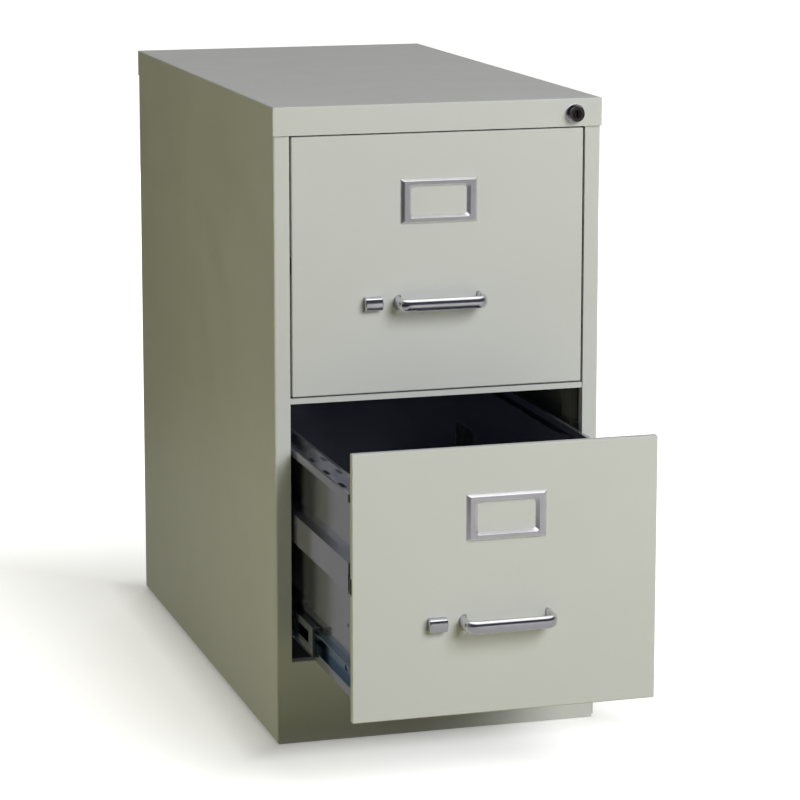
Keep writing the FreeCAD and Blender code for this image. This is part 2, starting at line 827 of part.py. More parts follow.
def slide_stops(name, drawer):
    """Plastic bumpers on the front ends of both middle members."""
    stops = []
    for side, sign in SIDES.items():
        tip = "middle_half - middle_flange"
        rim = "middle_half_height + stop_rim"
        low, high = span(sign, tip, "middle_half + stop_side_rim")
        front = "middle_front - stop_length"
        outer = block(f"{name}_{side}_stop_block", (low, front, f"-({rim})"),
                      (high, "middle_front", rim))
        low, high = span(sign, f"{tip} - {PAST}", "middle_low - slide_gauge")
        inside = "middle_half_height - slide_gauge"
        inner = block(f"{name}_{side}_stop_space", (low, f"{front} - {PAST}", f"-({inside})"),
                      (high, f"middle_front + {PAST}", inside))
        stops.append(cut(f"{name}_{side}_stop", outer, [inner]))
    group(f"{name}_slide_stops", stops,
          lift=f"{drawer['bottom']} + slide_height", back=f"-{drawer['out']} / 2")


def ball_row(name, sign, front, across, height, radius):
    """Balls of one race, and the rod that bores their holes in the cage."""
    balls, bores = [], []
    margin = "(cage_length - ball_pitch * (ball_count - 1)) / 2"
    hole = f"{radius} + ball_hole_clearance"
    for index in range(int(value("ball_count"))):
        along = f"{front} + {margin} + {index} * ball_pitch"
        ball = doc.addObject("Part::Sphere", f"{name}_ball_{index}")
        place = (f"{sign} * ({across})", along, height)
        for letter, formula in zip("xyz", place):
            ball.setExpression(f"Placement.Base.{letter}", bind(formula))
        ball.setExpression("Radius", bind(radius))
        balls.append(ball)
        start = (place[0], along, f"{height} - cage_gauge")
        bores.append(rod(f"{name}_bore_{index}", "z", start, "2 * cage_gauge", hole))
    return balls, bores


def outer_ball_cages(name, drawer):
    """Channel-shaped ball retainers between the outer and middle members."""
    members = []
    front = "slide_front + outer_cage_setback"
    back = f"{front} + cage_length"
    for side, sign in SIDES.items():
        label = f"{name}_{side}_outer_cage"
        outer = "outer_inside - middle_web_gap / 2 + cage_gauge / 2"
        half = "outer_race + cage_gauge / 2"
        low, high = span(sign, f"{outer} - cage_reach", outer)
        shell = block(f"{label}_block", (low, front, f"-({half})"), (high, back, half))
        low, high = span(sign, f"{outer} - cage_reach - {PAST}", f"{outer} - cage_gauge")
        inner = f"{half} - cage_gauge"
        space = block(f"{label}_space", (low, f"{front} - {PAST}", f"-({inner})"),
                      (high, f"{back} + {PAST}", inner))
        tools = [space]
        for row, level in (("top", "outer_race"), ("bottom", "-(outer_race)")):
            balls, bores = ball_row(f"{label}_{row}", sign, front,
                                    f"{outer} - outer_ball_inset", level, "outer_ball")
            members += balls
            tools += bores
        members.append(cut(label, shell, tools))
    group(f"{name}_outer_ball_cages", members,
          lift=f"{drawer['bottom']} + slide_height", back=f"-{drawer['out']} / 4")


def inner_ball_cages(name, drawer):
    """Flat ball retainers above and below each inner member."""
    members = []
    front = "slide_front + inner_cage_setback"
    back = f"{front} + cage_length"
    middle = "inner_web + inner_flange - inner_cage_width / 2"
    for side, sign in SIDES.items():
        for row, level in (("top", "inner_race"), ("bottom", "-(inner_race)")):
            label = f"{name}_{side}_inner_cage_{row}"
            low, high = span(sign, f"{middle} - inner_cage_width / 2",
                             f"{middle} + inner_cage_width / 2")
            bar = block(f"{label}_strip", (low, front, f"{level} - cage_gauge / 2"),
                        (high, back, f"{level} + cage_gauge / 2"))
            balls, bores = ball_row(label, sign, front, middle, level, "inner_ball")
            members += balls
            members.append(cut(label, bar, bores))
    group(f"{name}_inner_ball_cages", members,
          lift=f"{drawer['bottom']} + slide_height", back=f"-3 * {drawer['out']} / 4")


def drawer_front(name, drawer):
    """Outer skin of the front: a shallow pan, open to the back, with a lip turned inward."""
    body = new_body(f"{name}_drawer_front", lift=drawer["bottom"], back=f"-{drawer['out']}")
    outline = box("front_half", "0", "front_height")
    pad(body, "block", "XZ_Plane", [outline], "case_front", "skin_back")
    front = value("case_front")
    fillet(body, "edges", "skin_edge_radius",
           lambda edge: lies_on(edge, y=front) or runs_along(edge, "y"))
    mouth = box("liner_half + liner_gap", "liner_low - liner_gap", "liner_high + liner_gap")
    pocket(body, "mouth", "XZ_Plane", [mouth], "skin_inside", f"skin_back + {PAST}")
    hollow = box("front_half - skin_gauge", "skin_gauge", "front_height - skin_gauge")
    pocket(body, "hollow", "XZ_Plane", [hollow], "skin_inside", "skin_back - skin_gauge")
    notch = rectangle("case_front + bolt_notch_setback", f"skin_back + {PAST}",
                      "bolt_bottom - bolt_stand", "bolt_top + bolt_stand")
    pocket(body, "bolt_notch", "YZ_Plane", [notch], f"-(front_half + {PAST})", "-(liner_half)")
    screw = "screw_radius + screw_hole_clearance"
    offset = "(handle_width - handle_gauge) / 2"
    slot = rectangle("stem_left - stem_gap", "stem_left + stem_width + latch_travel + stem_gap",
                     "handle_height - stem_height / 2 - stem_gap",
                     "handle_height + stem_height / 2 + stem_gap")
    pocket(body, "holes", "XZ_Plane",
           [slot, (f"-{offset}", "handle_height", screw), (offset, "handle_height", screw)],
           f"case_front - {PAST}", f"skin_inside + {PAST}")


def inner_panel(name, drawer):
    """Liner pan behind the skin, open to the front, that carries the drawer box."""
    body = new_body(f"{name}_inner_panel", lift=drawer["bottom"], back=f"-{drawer['out']}")
    start = "skin_inside + liner_gap"
    outline = box("liner_half", "liner_low", "liner_high")
    pad(body, "block", "XZ_Plane", [outline], start, "front_back")
    back = value("front_back")
    fillet(body, "edges", "liner_edge_radius", lambda edge: lies_on(edge, y=back))
    hollow = box("liner_half - drawer_gauge", "liner_low + drawer_gauge",
                 "liner_high - drawer_gauge")
    pocket(body, "hollow", "XZ_Plane", [hollow], f"{start} - {PAST}", "front_back - drawer_gauge")
    window = rectangle("bolt_front - bolt_gap", "bolt_back + bolt_gap",
                       "bolt_bottom - bolt_stand", "bolt_top + bolt_stand")
    pocket(body, "bolt_window", "YZ_Plane", [window], f"-(liner_half + {PAST})",
           f"-(liner_half - drawer_gauge - {PAST})")


def drawer_side(name, drawer, side):
    """Side wall with its floor flange, stiffening bead, top hem and hanging rail."""
    sign = SIDES[side]
    body = new_body(f"{name}_{side}_drawer_side", lift=drawer["bottom"], back=f"-{drawer['out']}")
    reach = "wall_half + bead_reach"
    face = [
        ("wall_half - drawer_floor_flange", "drawer_bottom_height"),
        ("wall_half", "drawer_bottom_height"),
        ("wall_half", "bead_bottom - bead_slope"),
        (reach, "bead_bottom"),
        (reach, "bead_top"),
        ("wall_half", "bead_top + bead_slope"),
        ("wall_half", "hem_bottom - bead_slope"),
        (reach, "hem_bottom"),
        (reach, "hem_top"),
        ("hang_rail", "hem_top"),
        ("hang_rail", "hem_top + hang_rail_height"),
        ("hang_rail - hang_rail_flange", "hem_top + hang_rail_height"),
    ]
    outline = strip(face, "drawer_gauge")
    pad(body, "wall", "XZ_Plane", [on_side(sign, outline)], "box_front", "box_back")
    low, high = span(sign, "wall_half - drawer_front_flange", "wall_inside + drawer_gauge / 2")
    flange = rectangle(low, high, "floor_top + touch_gap", "hem_bottom - bead_slope")
    pad(body, "front_flange", "XZ_Plane", [flange], "box_front", "box_front + drawer_gauge")
    middle, half = "case_front + dimple_setback", "dimple_size / 2"
    diamond = [
        (f"{middle} - {half}", "dimple_height"),
        (middle, f"dimple_height - {half}"),
        (f"{middle} + {half}", "dimple_height"),
        (middle, f"dimple_height + {half}"),
    ]
    low, high = span(sign, f"wall_inside - {PAST}", f"wall_half + {PAST}")
    pocket(body, "diamond", "YZ_Plane", [diamond], low, high)
    low, high = span(sign, "wall_half + bead_reach / 2 - hem_slot_width / 2",
                     "wall_half + bead_reach / 2 + hem_slot_width / 2")
    start = "box_front + hem_slot_pitch / 2"
    first = rectangle(low, high, start, f"{start} + hem_slot_length")
    slot = pocket(body, "hem_slot", "XY_Plane", [first],
                  f"hem_top - drawer_gauge - {PAST}", f"hem_top + {PAST}")
    row = body.newObject("PartDesign::LinearPattern", f"{body.Name}_hem_slots")
    row.Originals = [slot]
    row.Direction = (next(item for item in body.Origin.OriginFeatures
                          if item.Role == "Y_Axis"), [""])
    row.setExpression("Length", bind("hem_slot_pitch * (hem_slot_count - 1)"))
    row.setExpression("Occurrences", bind("hem_slot_count"))
    body.Tip = row


def drawer_floor(name, drawer):
    body = new_body(f"{name}_drawer_bottom", lift=drawer["bottom"], back=f"-{drawer['out']}")
    outline = box("wall_inside - touch_gap", "box_front + touch_gap",
                  "box_back - drawer_gauge - touch_gap")
    pad(body, "sheet", "XY_Plane", [outline], "floor_under", "floor_top")


def drawer_back(name, drawer):
    """Back wall with a hem folded forward along its top."""
    body = new_body(f"{name}_drawer_back", lift=drawer["bottom"], back=f"-{drawer['out']}")
    face = [
        ("box_back", "floor_top + touch_gap"),
        ("box_back", "back_height"),
        ("box_back - back_hem", "back_height"),
    ]
    pad(body, "sheet", "YZ_Plane", [strip(face, "drawer_gauge")],
        "-(wall_inside - touch_gap)", "wall_inside - touch_gap")


def handle(name, drawer):
    """Bowed bar with a crowned face and two feet."""
    body = new_body(f"{name}_handle", lift=f"{drawer['bottom']} + handle_height",
                    back=f"-{drawer['out']}")
    outline = box("handle_width / 2", "case_front - handle_reach", "case_front")
    pad(body, "bow", "XY_Plane", [outline], "-handle_bar_height / 2", "handle_bar_height / 2")
    front, radius = value("case_front - handle_reach"), value("handle_corner_radius")
    fillet(body, "corners", "handle_corner_radius",
           lambda edge: runs_along(edge, "z") and lies_on(edge, y=front))
    gap = box("handle_width / 2 - handle_gauge", "case_front - handle_reach + handle_gauge",
              f"case_front + {PAST}")
    pocket(body, "finger_gap", "XY_Plane", [gap], f"-handle_bar_height / 2 - {PAST}",
           f"handle_bar_height / 2 + {PAST}")
    inner = front + value("handle_gauge")
    fillet(body, "inner_corners", "handle_corner_radius - handle_gauge",
           lambda edge: runs_along(edge, "z") and lies_on(edge, y=inner))
    half = value("handle_width / 2")
    fillet(body, "crown", "handle_crown_radius",
           lambda edge: not runs_along(edge, "z")
           and (lies_on(edge, y=front) or near(abs(edge.CenterOfMass.x), half)
                or near(getattr(edge.Curve, "Radius", 0), radius)))
    for side, sign in SIDES.items():
        low, high = span(sign, "handle_width / 2 - handle_foot_width", "handle_width / 2")
        foot = rectangle(low, high, "-handle_foot_height / 2", "handle_foot_height / 2")
        pad(body, f"{side}_foot", "XZ_Plane", [foot], "case_front - handle_foot_gauge",
            "case_front")
    offset = "(handle_width - handle_gauge) / 2"
    radius = "screw_radius + screw_clearance"
    pocket(body, "screw_holes", "XZ_Plane", [(f"-{offset}", "0", radius), (offset, "0", radius)],
           "case_front - screw_depth - screw_end_room", f"case_front + {PAST}")


def handle_screws(name, drawer):
    """Pan-head screws that hold the handle from behind the skin."""
    screws = []
    for side, sign in SIDES.items():
        label = f"{name}_{side}_handle_screw"
        across = f"{sign} * (handle_width - handle_gauge) / 2"
        shank = doc.addObject("Part::Cylinder", f"{label}_shank")
        head = doc.addObject("Part::Cylinder", f"{label}_head")
        spans = (
            (shank, "case_front - screw_depth", "skin_inside", "screw_radius"),
            (head, "skin_inside", "skin_inside + screw_head_height", "screw_head_radius"),
        )
        for part, start, end, radius in spans:
            part.Placement.Rotation = FreeCAD.Rotation(FreeCAD.Vector(1, 0, 0), -90)
            part.setExpression("Placement.Base.x", bind(across))
            part.setExpression("Placement.Base.y", bind(start))
            part.setExpression("Height", bind(f"({end}) - ({start})"))
            part.setExpression("Radius", bind(radius))
        screws.append(fuse(label, [shank, head]))
    group(f"{name}_handle_screws", screws, lift=f"{drawer['bottom']} + handle_height",
          back=f"-{drawer['out']}")


def label_holder(name, drawer):
    """Bevelled frame that holds a card."""
    body = new_body(f"{name}_label_holder", lift=f"{drawer['bottom']} + label_height",
                    back=f"-{drawer['out']}")
    outer = box("label_width / 2", "-label_tall / 2", "label_tall / 2")
    opening = box("label_opening_width / 2", "-label_opening_tall / 2", "label_opening_tall / 2")
    pad(body, "frame", "XZ_Plane", [outer, opening], "case_front - label_stand", "case_front")
    half, inside = value("label_width / 2"), value("label_opening_width / 2")
    front = value("case_front - label_stand")
    fillet(body, "inner_corners", "label_inner_radius",
           lambda edge: runs_along(edge, "y") and near(abs(edge.CenterOfMass.x), inside))
    dress(body, "bevel", "Chamfer", "Size", "label_bevel", lambda edge: lies_on(edge, y=front))
    fillet(body, "outer_corners", "label_outer_radius",
           lambda edge: any(near(abs(vertex.X), half) for vertex in edge.Vertexes)
           and not runs_along(edge, "z") and not runs_along(edge, "x"))


def latch_button(name, drawer):
    """Thumb button with a stem through the skin."""
    body = new_body(f"{name}_latch_button", lift=f"{drawer['bottom']} + handle_height",
                    back=f"-{drawer['out']}")
    outline = rectangle("button_left", "button_left + button_width",
                        "-button_height / 2", "button_height / 2")
    pad(body, "block", "XZ_Plane", [outline], "case_front - button_reach",
        "case_front - button_gap")
    front = value("case_front - button_reach")
    fillet(body, "round", "button_round",
           lambda edge: lies_on(edge, y=front) or runs_along(edge, "y"))
    stem = rectangle("stem_left", "stem_left + stem_width", "-stem_height / 2", "stem_height / 2")
    pad(body, "stem", "XZ_Plane", [stem], f"case_front - button_gap - {PAST}",
        "bolt_plate_front - touch_gap")


def latch_slide(name, drawer):
    """Bolt plate behind the skin, with its nose in the liner's window."""
    body = new_body(f"{name}_latch_slide", lift=drawer["bottom"], back=f"-{drawer['out']}")
    leg_right = "stem_left + bolt_leg_width"
    nose = "-(front_half - bolt_clear)"
    top = [
        (leg_right, "bolt_plate_front"),
        (leg_right, "bolt_plate_back"),
        ("-(bolt_heel - bolt_plate_gauge)", "bolt_plate_back"),
        ("-(bolt_heel - bolt_plate_gauge)", "bolt_back"),
        (nose, "bolt_back"),
        (nose, "bolt_front"),
        ("-(bolt_heel)", "bolt_front"),
        ("-(bolt_heel)", "bolt_plate_front"),
    ]
    pad(body, "bolt", "XY_Plane", [top], "bolt_bottom", "bolt_top")
    leg = rectangle("stem_left", leg_right, "handle_height - stem_height", "bolt_top")
    pad(body, "leg", "XZ_Plane", [leg], "bolt_plate_front", "bolt_plate_back")


def lock_striker(name, drawer):
    """Angle on the drawer's right wall that the lock bar's hook stops."""
    body = new_body(f"{name}_lock_striker", lift=drawer["bottom"], back=f"-{drawer['out']}")
    face = [
        ("wall_half + touch_gap", "striker_front + striker_base"),
        ("wall_half + touch_gap", "striker_front"),
        ("wall_half + striker_reach", "striker_front"),
    ]
    pad(body, "angle", "XY_Plane", [strip(face, "striker_gauge")], "striker_height",
        "striker_height + striker_tall")


def lock_housing():
    """Ring on the fascia with a short tube through it."""
    body = new_body("lock_housing", lift="lock_height")
    bore = ("lock_place", "0", "plunger_radius + lock_fit")
    ring = ("lock_place", "0", "lock_ring_radius")
    tube = ("lock_place", "0", "lock_tube_radius")
    pad(body, "ring", "XZ_Plane", [ring, bore], "fascia_front - lock_ring_stand", "fascia_front")
    pad(body, "tube", "XZ_Plane", [tube, bore], "fascia_front - lock_ring_stand / 2", "tube_back")
    front, reach = value("fascia_front - lock_ring_stand"), value("lock_ring_radius")
    fillet(body, "rim", "lock_ring_stand / 2",
           lambda edge: lies_on(edge, y=front) and edge.Length > 6 * reach)


def lock_plunger():
    """Barrel that is pushed in to lock, with a cross pin that drives the lock bar."""
    body = new_body("lock_plunger", lift="lock_height")
    barrel = ("lock_place", "0", "plunger_radius")
    bore = ("lock_place", "0", "plug_radius + lock_fit")
    pad(body, "barrel", "XZ_Plane", [barrel, bore], "plunger_front", "plunger_back")
    pocket(body, "face", "XZ_Plane", [("lock_place", "0", "face_recess_radius")],
           f"plunger_front - {PAST}", "plunger_front + face_recess_depth")
    pad(body, "pin", "YZ_Plane", [("pin_place", "0", "pin_radius")],
        "lock_place + (plug_radius + plunger_radius) / 2", "bar_outside + pin_overhang")


def lock_plug():
    """Key plug with a keyway, and a cam behind the plunger."""
    body = new_body("lock_plug", lift="lock_height")
    back = "plunger_back + cam_gap + cam_thickness"
    pad(body, "plug", "XZ_Plane", [("lock_place", "0", "plug_radius")],
        "plunger_front + plug_inset", back)
    cam = rectangle("lock_place - cam_width / 2", "lock_place + cam_width / 2",
                    "-cam_height / 2", "cam_height / 2")
    pad(body, "cam", "XZ_Plane", [cam], "plunger_back + cam_gap", back)
    keyway = rectangle("lock_place - keyway_width / 2", "lock_place + keyway_width / 2",
                       "-keyway_height / 2", "keyway_height / 2")
    pocket(body, "keyway", "XZ_Plane", [keyway], f"plunger_front - {PAST}",
           "plunger_front + keyway_depth")


def lock_bar():
    """Vertical bar with a slanted slot for the pin and a hook for each drawer."""
    body = new_body("lock_bar")
    bottom = "lower_front_bottom + hook_bottom - bar_tail"
    head = "bar_top - bar_head_height"
    outline = [
        ("bar_front", bottom),
        ("bar_back", bottom),
        ("bar_back", "bar_top"),
        ("bar_head_front", "bar_top"),
        ("bar_head_front", head),
        ("bar_front", head),
    ]
    pad(body, "strip", "YZ_Plane", [outline], "bar_place", "bar_outside")
    wide = "(pin_radius + pin_gap) * sqrt(2)"
    start = ("pin_place", "lock_height")
    end = ("pin_place + lock_travel", "lock_height + lock_travel")
    slot = [
        (f"{start[0]} - {wide}", start[1]),
        (start[0], f"{start[1]} - {wide}"),
        (f"{end[0]} + {wide}", end[1]),
        (end[0], f"{end[1]} + {wide}"),
    ]
    pocket(body, "slot", "YZ_Plane", [slot], f"bar_place - {PAST}", f"bar_outside + {PAST}")
    for name, drawer in DRAWERS.items():
        hook = rectangle("hook_tip", "bar_place + bar_gauge / 2", "hook_front", "hook_back")
        pad(body, f"{name}_hook", "XY_Plane", [hook], f"{drawer['bottom']} + hook_bottom",
            f"{drawer['bottom']} + hook_top")


def lock_bar_guides():
    """Two slotted plates on the right side panel that hold the lock bar."""
    guides = []
    heights = {
        "upper": "cap_underside - upper_guide_drop",
        "lower": "lower_front_bottom + hook_top + lower_guide_rise",
    }
    for name, height in heights.items():
        front, back = "bar_front - guide_margin", "bar_back + guide_margin / 2"
        outer = "panel_inside - touch_gap"
        shelf = block(f"{name}_guide_shelf", ("bar_place - guide_margin / 2", front, height),
                      (outer, back, f"{height} + guide_gauge"))
        wall = block(f"{name}_guide_wall", (f"{outer} - guide_gauge", front, height),
                     (outer, back, f"{height} + guide_height"))
        slot = block(f"{name}_guide_slot",
                     ("bar_place - guide_gap", "bar_front - guide_gap", f"{height} - {PAST}"),
                     ("bar_outside + guide_gap", "bar_back + guide_gap",
                      f"{height} + guide_gauge + {PAST}"))
        angle = fuse(f"{name}_guide_angle", [shelf, wall])
        guides.append(cut(f"{name}_guide", angle, [slot]))
    group("lock_bar_guides", guides)


def build_case():
    for side in SIDES:
        side_panel(side)
    back_panel()
    top_cap()
    mid_rail()
    kick_plate()
    base_frame()
    for end in ("front", "rear"):
        for side in SIDES:
            upright(end, side)
    slide_rivets()


def build_drawer(name, drawer):
    drawer_front(name, drawer)
    inner_panel(name, drawer)
    drawer_floor(name, drawer)
    drawer_back(name, drawer)
    handle(name, drawer)
    handle_screws(name, drawer)
    label_holder(name, drawer)
    latch_button(name, drawer)
    latch_slide(name, drawer)
    lock_striker(name, drawer)
    for side in SIDES:
        drawer_side(name, drawer, side)
        outer_slide(name, drawer, side)
        middle_slide(name, drawer, side)
        inner_slide(name, drawer, side)
    slide_stops(name, drawer)
    outer_ball_cages(name, drawer)
    inner_ball_cages(name, drawer)


def build_lock():
    lock_housing()
    lock_plunger()
    lock_plug()
    lock_bar()
    lock_bar_guides()


def check_model():
    """Stop if any object failed or any sub-part has no sound shape."""
    for item in doc.Objects:
        if "Invalid" in item.State or "Error" in item.State:
            raise ValueError(f"{item.Name} failed: {item.State}")
    for piece in pieces:
        if piece.Shape.isNull() or not piece.Shape.isValid() or not piece.Shape.Solids:
            raise ValueError(f"{piece.Label} has no sound shape")


def write_parts():
    os.makedirs("parts", exist_ok=True)
    for piece in pieces:
        piece.Shape.exportStep(f"parts/{piece.Label}.step")
        print(f"{piece.Label}: {len(piece.Shape.Solids)} solids, "
              f"{piece.Shape.Volume / 1000:.2f} cm3")


fill_sheet()
build_case()
for drawer_name, drawer_places in DRAWERS.items():
    build_drawer(drawer_name, drawer_places)
build_lock()
doc.recompute()
check_model()
write_parts()
print(len(pieces), "sub-parts")
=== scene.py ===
import json
import math

import bmesh
import bpy
from mathutils import Euler, Matrix, Vector


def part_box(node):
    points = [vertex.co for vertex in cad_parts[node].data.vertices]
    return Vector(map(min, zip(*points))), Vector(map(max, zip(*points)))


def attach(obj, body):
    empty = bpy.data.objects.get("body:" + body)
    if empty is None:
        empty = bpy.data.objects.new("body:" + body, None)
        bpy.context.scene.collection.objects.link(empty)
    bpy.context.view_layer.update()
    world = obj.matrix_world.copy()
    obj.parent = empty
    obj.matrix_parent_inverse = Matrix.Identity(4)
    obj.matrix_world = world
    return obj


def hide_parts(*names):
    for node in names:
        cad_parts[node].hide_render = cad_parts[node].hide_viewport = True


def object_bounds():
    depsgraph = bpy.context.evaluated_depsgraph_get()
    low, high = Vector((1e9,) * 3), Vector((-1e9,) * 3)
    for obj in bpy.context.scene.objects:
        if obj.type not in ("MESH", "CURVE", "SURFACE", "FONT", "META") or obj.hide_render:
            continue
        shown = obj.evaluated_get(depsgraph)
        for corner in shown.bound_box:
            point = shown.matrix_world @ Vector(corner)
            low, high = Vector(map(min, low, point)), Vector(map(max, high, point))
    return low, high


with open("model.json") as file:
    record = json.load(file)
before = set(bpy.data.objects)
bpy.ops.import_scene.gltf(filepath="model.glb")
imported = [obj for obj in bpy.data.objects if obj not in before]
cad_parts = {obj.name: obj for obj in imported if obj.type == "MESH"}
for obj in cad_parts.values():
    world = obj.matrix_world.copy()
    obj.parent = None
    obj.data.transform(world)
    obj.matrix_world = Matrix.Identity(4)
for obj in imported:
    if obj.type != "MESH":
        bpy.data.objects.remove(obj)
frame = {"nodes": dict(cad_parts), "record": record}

CAD_LOW, CAD_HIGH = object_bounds()
NODES = frame["nodes"]
DRAWERS = ("upper", "lower")
WHITE = (1.0, 1.0, 1.0)


class Graph:
    """Short calls that add nodes to one material or world."""

    def __init__(self, tree):
        self.tree = tree
        tree.nodes.clear()

    def add(self, kind, settings=None, **inputs):
        """Add a node. An input is a value, or another node's socket to link."""
        node = self.tree.nodes.new(kind)
        for name, setting in (settings or {}).items():
            setattr(node, name, setting)
        for name, given in inputs.items():
            socket = self.socket(node, name)
            if isinstance(given, bpy.types.NodeSocket):
                self.tree.links.new(given, socket)
            else:
                socket.default_value = given
        return node

    @staticmethod
    def socket(node, name):
        """Find an input by its name in lower case with underscores, or by its number."""
        if name.startswith("slot_"):
            return node.inputs[int(name.removeprefix("slot_"))]
        return next(s for s in node.inputs
                    if s.enabled and s.name.lower().replace(" ", "_") == name)

    def noise(self, place, scale, detail):
        node = self.add("ShaderNodeTexNoise", vector=place, scale=scale, detail=detail)
        return node.outputs["Fac"]

    def lines(self, place, scales, detail):
        """Noise drawn out along the axis on which its scale is least."""
        node = self.add("ShaderNodeMapping", {"vector_type": "POINT"}, vector=place,
                        scale=scales)
        return self.noise(node.outputs["Vector"], 1.0, detail)

    def remap(self, source, low, high, at_low=0.0, at_high=1.0):
        """Go from one value to another while the source goes from low to high."""
        node = self.add("ShaderNodeMapRange", slot_0=source, slot_1=low, slot_2=high,
                        slot_3=at_low, slot_4=at_high)
        return node.outputs["Result"]

    def layer(self, place, scale, detail, **ends):
        """Noise and its remapping in one."""
        return self.remap(self.noise(place, scale, detail), **ends)

    def blend(self, share, first, second):
        """A colour between two others."""
        first, second = (given if isinstance(given, bpy.types.NodeSocket) else (*given, 1.0)
                         for given in (first, second))
        node = self.add("ShaderNodeMix", {"data_type": "RGBA"}, slot_0=share, slot_6=first,
                        slot_7=second)
        return node.outputs[2]

    def math(self, operation, first, second):
        node = self.add("ShaderNodeMath", {"operation": operation}, slot_0=first,
                        slot_1=second)
        return node.outputs[0]

    def bump(self, height, strength, depth, under=None):
        """Relief from a height, laid over another relief where one is given."""
        inputs = {"height": height, "strength": strength, "distance": depth}
        if under is not None:
            inputs["normal"] = under
        return self.add("ShaderNodeBump", **inputs).outputs["Normal"]

    def relief(self, place, scale, detail, **depths):
        """Noise and its relief in one."""
        return self.bump(self.noise(place, scale, detail), **depths)


# The finishes. All colours are linear. Scales are per metre, depths are in metres, and
# low and high are the values of a noise between which it goes from no effect to full.


def scaled(colour, factor):
    """The colour made darker or brighter, up to white."""
    return tuple(min(1.0, channel * factor) for channel in colour)


def new_material(name):
    """A material with a surface shader, and the object's own metres as coordinates."""
    material = bpy.data.materials.new(name)
    material.use_nodes = True
    graph = Graph(material.node_tree)
    place = graph.add("ShaderNodeTexCoord").outputs["Object"]
    shader = graph.add("ShaderNodeBsdfPrincipled")
    graph.add("ShaderNodeOutputMaterial", surface=shader.outputs["BSDF"])
    return material, graph, place, shader


def set_finish(graph, shader, colour, roughness, normal, metallic=0.0):
    """Link a finish to its surface shader."""
    for name, source in (("Base Color", colour), ("Roughness", roughness),
                         ("Normal", normal)):
        graph.tree.links.new(source, shader.inputs[name])
    shader.inputs["Metallic"].default_value = metallic


# Pointiness at which an outer edge starts to look worn and to take a painted highlight, and
# does so fully
EDGE_WEAR_AND_HIGHLIGHT = dict(low=0.505, high=0.56)


def edge_wear_and_highlight(graph):
    """How much a point lies on an outer edge, from 0 to 1."""
    pointiness = graph.add("ShaderNodeNewGeometry").outputs["Pointiness"]
    return graph.remap(pointiness, **EDGE_WEAR_AND_HIGHLIGHT)


PAINT = (0.545, 0.558, 0.562)
PAINT_CLOUDED = (0.528, 0.540, 0.538)
DARK_PAINT = (0.26, 0.26, 0.235)
DARK_PAINT_CLOUDED = scaled(DARK_PAINT, 0.8)
PAINT_CLOUDS = dict(scale=5.0, detail=4.0, low=0.35, high=0.65)
PAINT_SPECKS = dict(scale=420.0, detail=1.0, low=0.60, high=0.75, at_high=0.05)
PAINT_SPECKS_DARK = 0.7
# Paler outer edges of the enamel: partly wear, partly a painted highlight of the rounded
# bends
PAINT_EDGE_WEAR_AND_HIGHLIGHT_SHARE = 0.25
PAINT_EDGE_WEAR_AND_HIGHLIGHT_PALE = 1.25
PAINT_ROUGHNESS = dict(scale=14.0, detail=5.0, low=0.3, high=0.7, at_low=0.34, at_high=0.44)
PAINT_WAVE = dict(scale=5.0, detail=1.0, strength=0.10, depth=0.0016)
PAINT_PEEL = dict(scale=620.0, detail=2.0, strength=0.16, depth=0.00012)
PAINT_SPECULAR = 0.32
PAINT_COAT = 0.12
PAINT_COAT_ROUGHNESS = 0.22


def paint_material(name, colour, clouded):
    """Baked enamel on sheet steel: orange peel, a slight wave, faint mottling, and paler
    outer edges that are partly wear and partly a painted highlight.
    """
    material, graph, place, shader = new_material(name)
    base = graph.blend(graph.layer(place, **PAINT_CLOUDS), colour, clouded)
    specked = graph.blend(graph.layer(place, **PAINT_SPECKS), base,
                          scaled(colour, PAINT_SPECKS_DARK))
    # Outer edges made paler: partly wear, partly a painted highlight
    worn = graph.blend(graph.math("MULTIPLY", edge_wear_and_highlight(graph), PAINT_EDGE_WEAR_AND_HIGHLIGHT_SHARE), specked,
                       scaled(colour, PAINT_EDGE_WEAR_AND_HIGHLIGHT_PALE))
    roughness = graph.layer(place, **PAINT_ROUGHNESS)
    wave = graph.relief(place, **PAINT_WAVE)
    peel = graph.relief(place, under=wave, **PAINT_PEEL)
    set_finish(graph, shader, worn, roughness, peel)
    shader.inputs["Specular IOR Level"].default_value = PAINT_SPECULAR
    shader.inputs["Coat Weight"].default_value = PAINT_COAT
    shader.inputs["Coat Roughness"].default_value = PAINT_COAT_ROUGHNESS
    return material


ZINC_SHEET = (0.375, 0.385, 0.47)
SHEET_METALLIC = 0.76
SHEET_DULL = 0.72
SHEET_CRYSTAL_SCALE = 240.0
SHEET_CRYSTAL_SHARE = 0.22
SHEET_LINES = dict(scales=(500.0, 6.0, 500.0), detail=2.0)
SHEET_STREAKS = dict(low=0.35, high=0.7, at_high=0.20)
SHEET_STAINS = dict(scale=9.0, detail=2.0, low=0.4, high=0.8, at_high=0.20)
SHEET_ROUGHNESS = dict(scale=30.0, detail=3.0, low=0.3, high=0.7, at_low=0.13, at_high=0.18)
SHEET_GRAIN = dict(strength=0.10, depth=0.00006)
SHEET_WAVE = dict(scale=11.0, detail=0.0, strength=0.12, depth=0.0008)


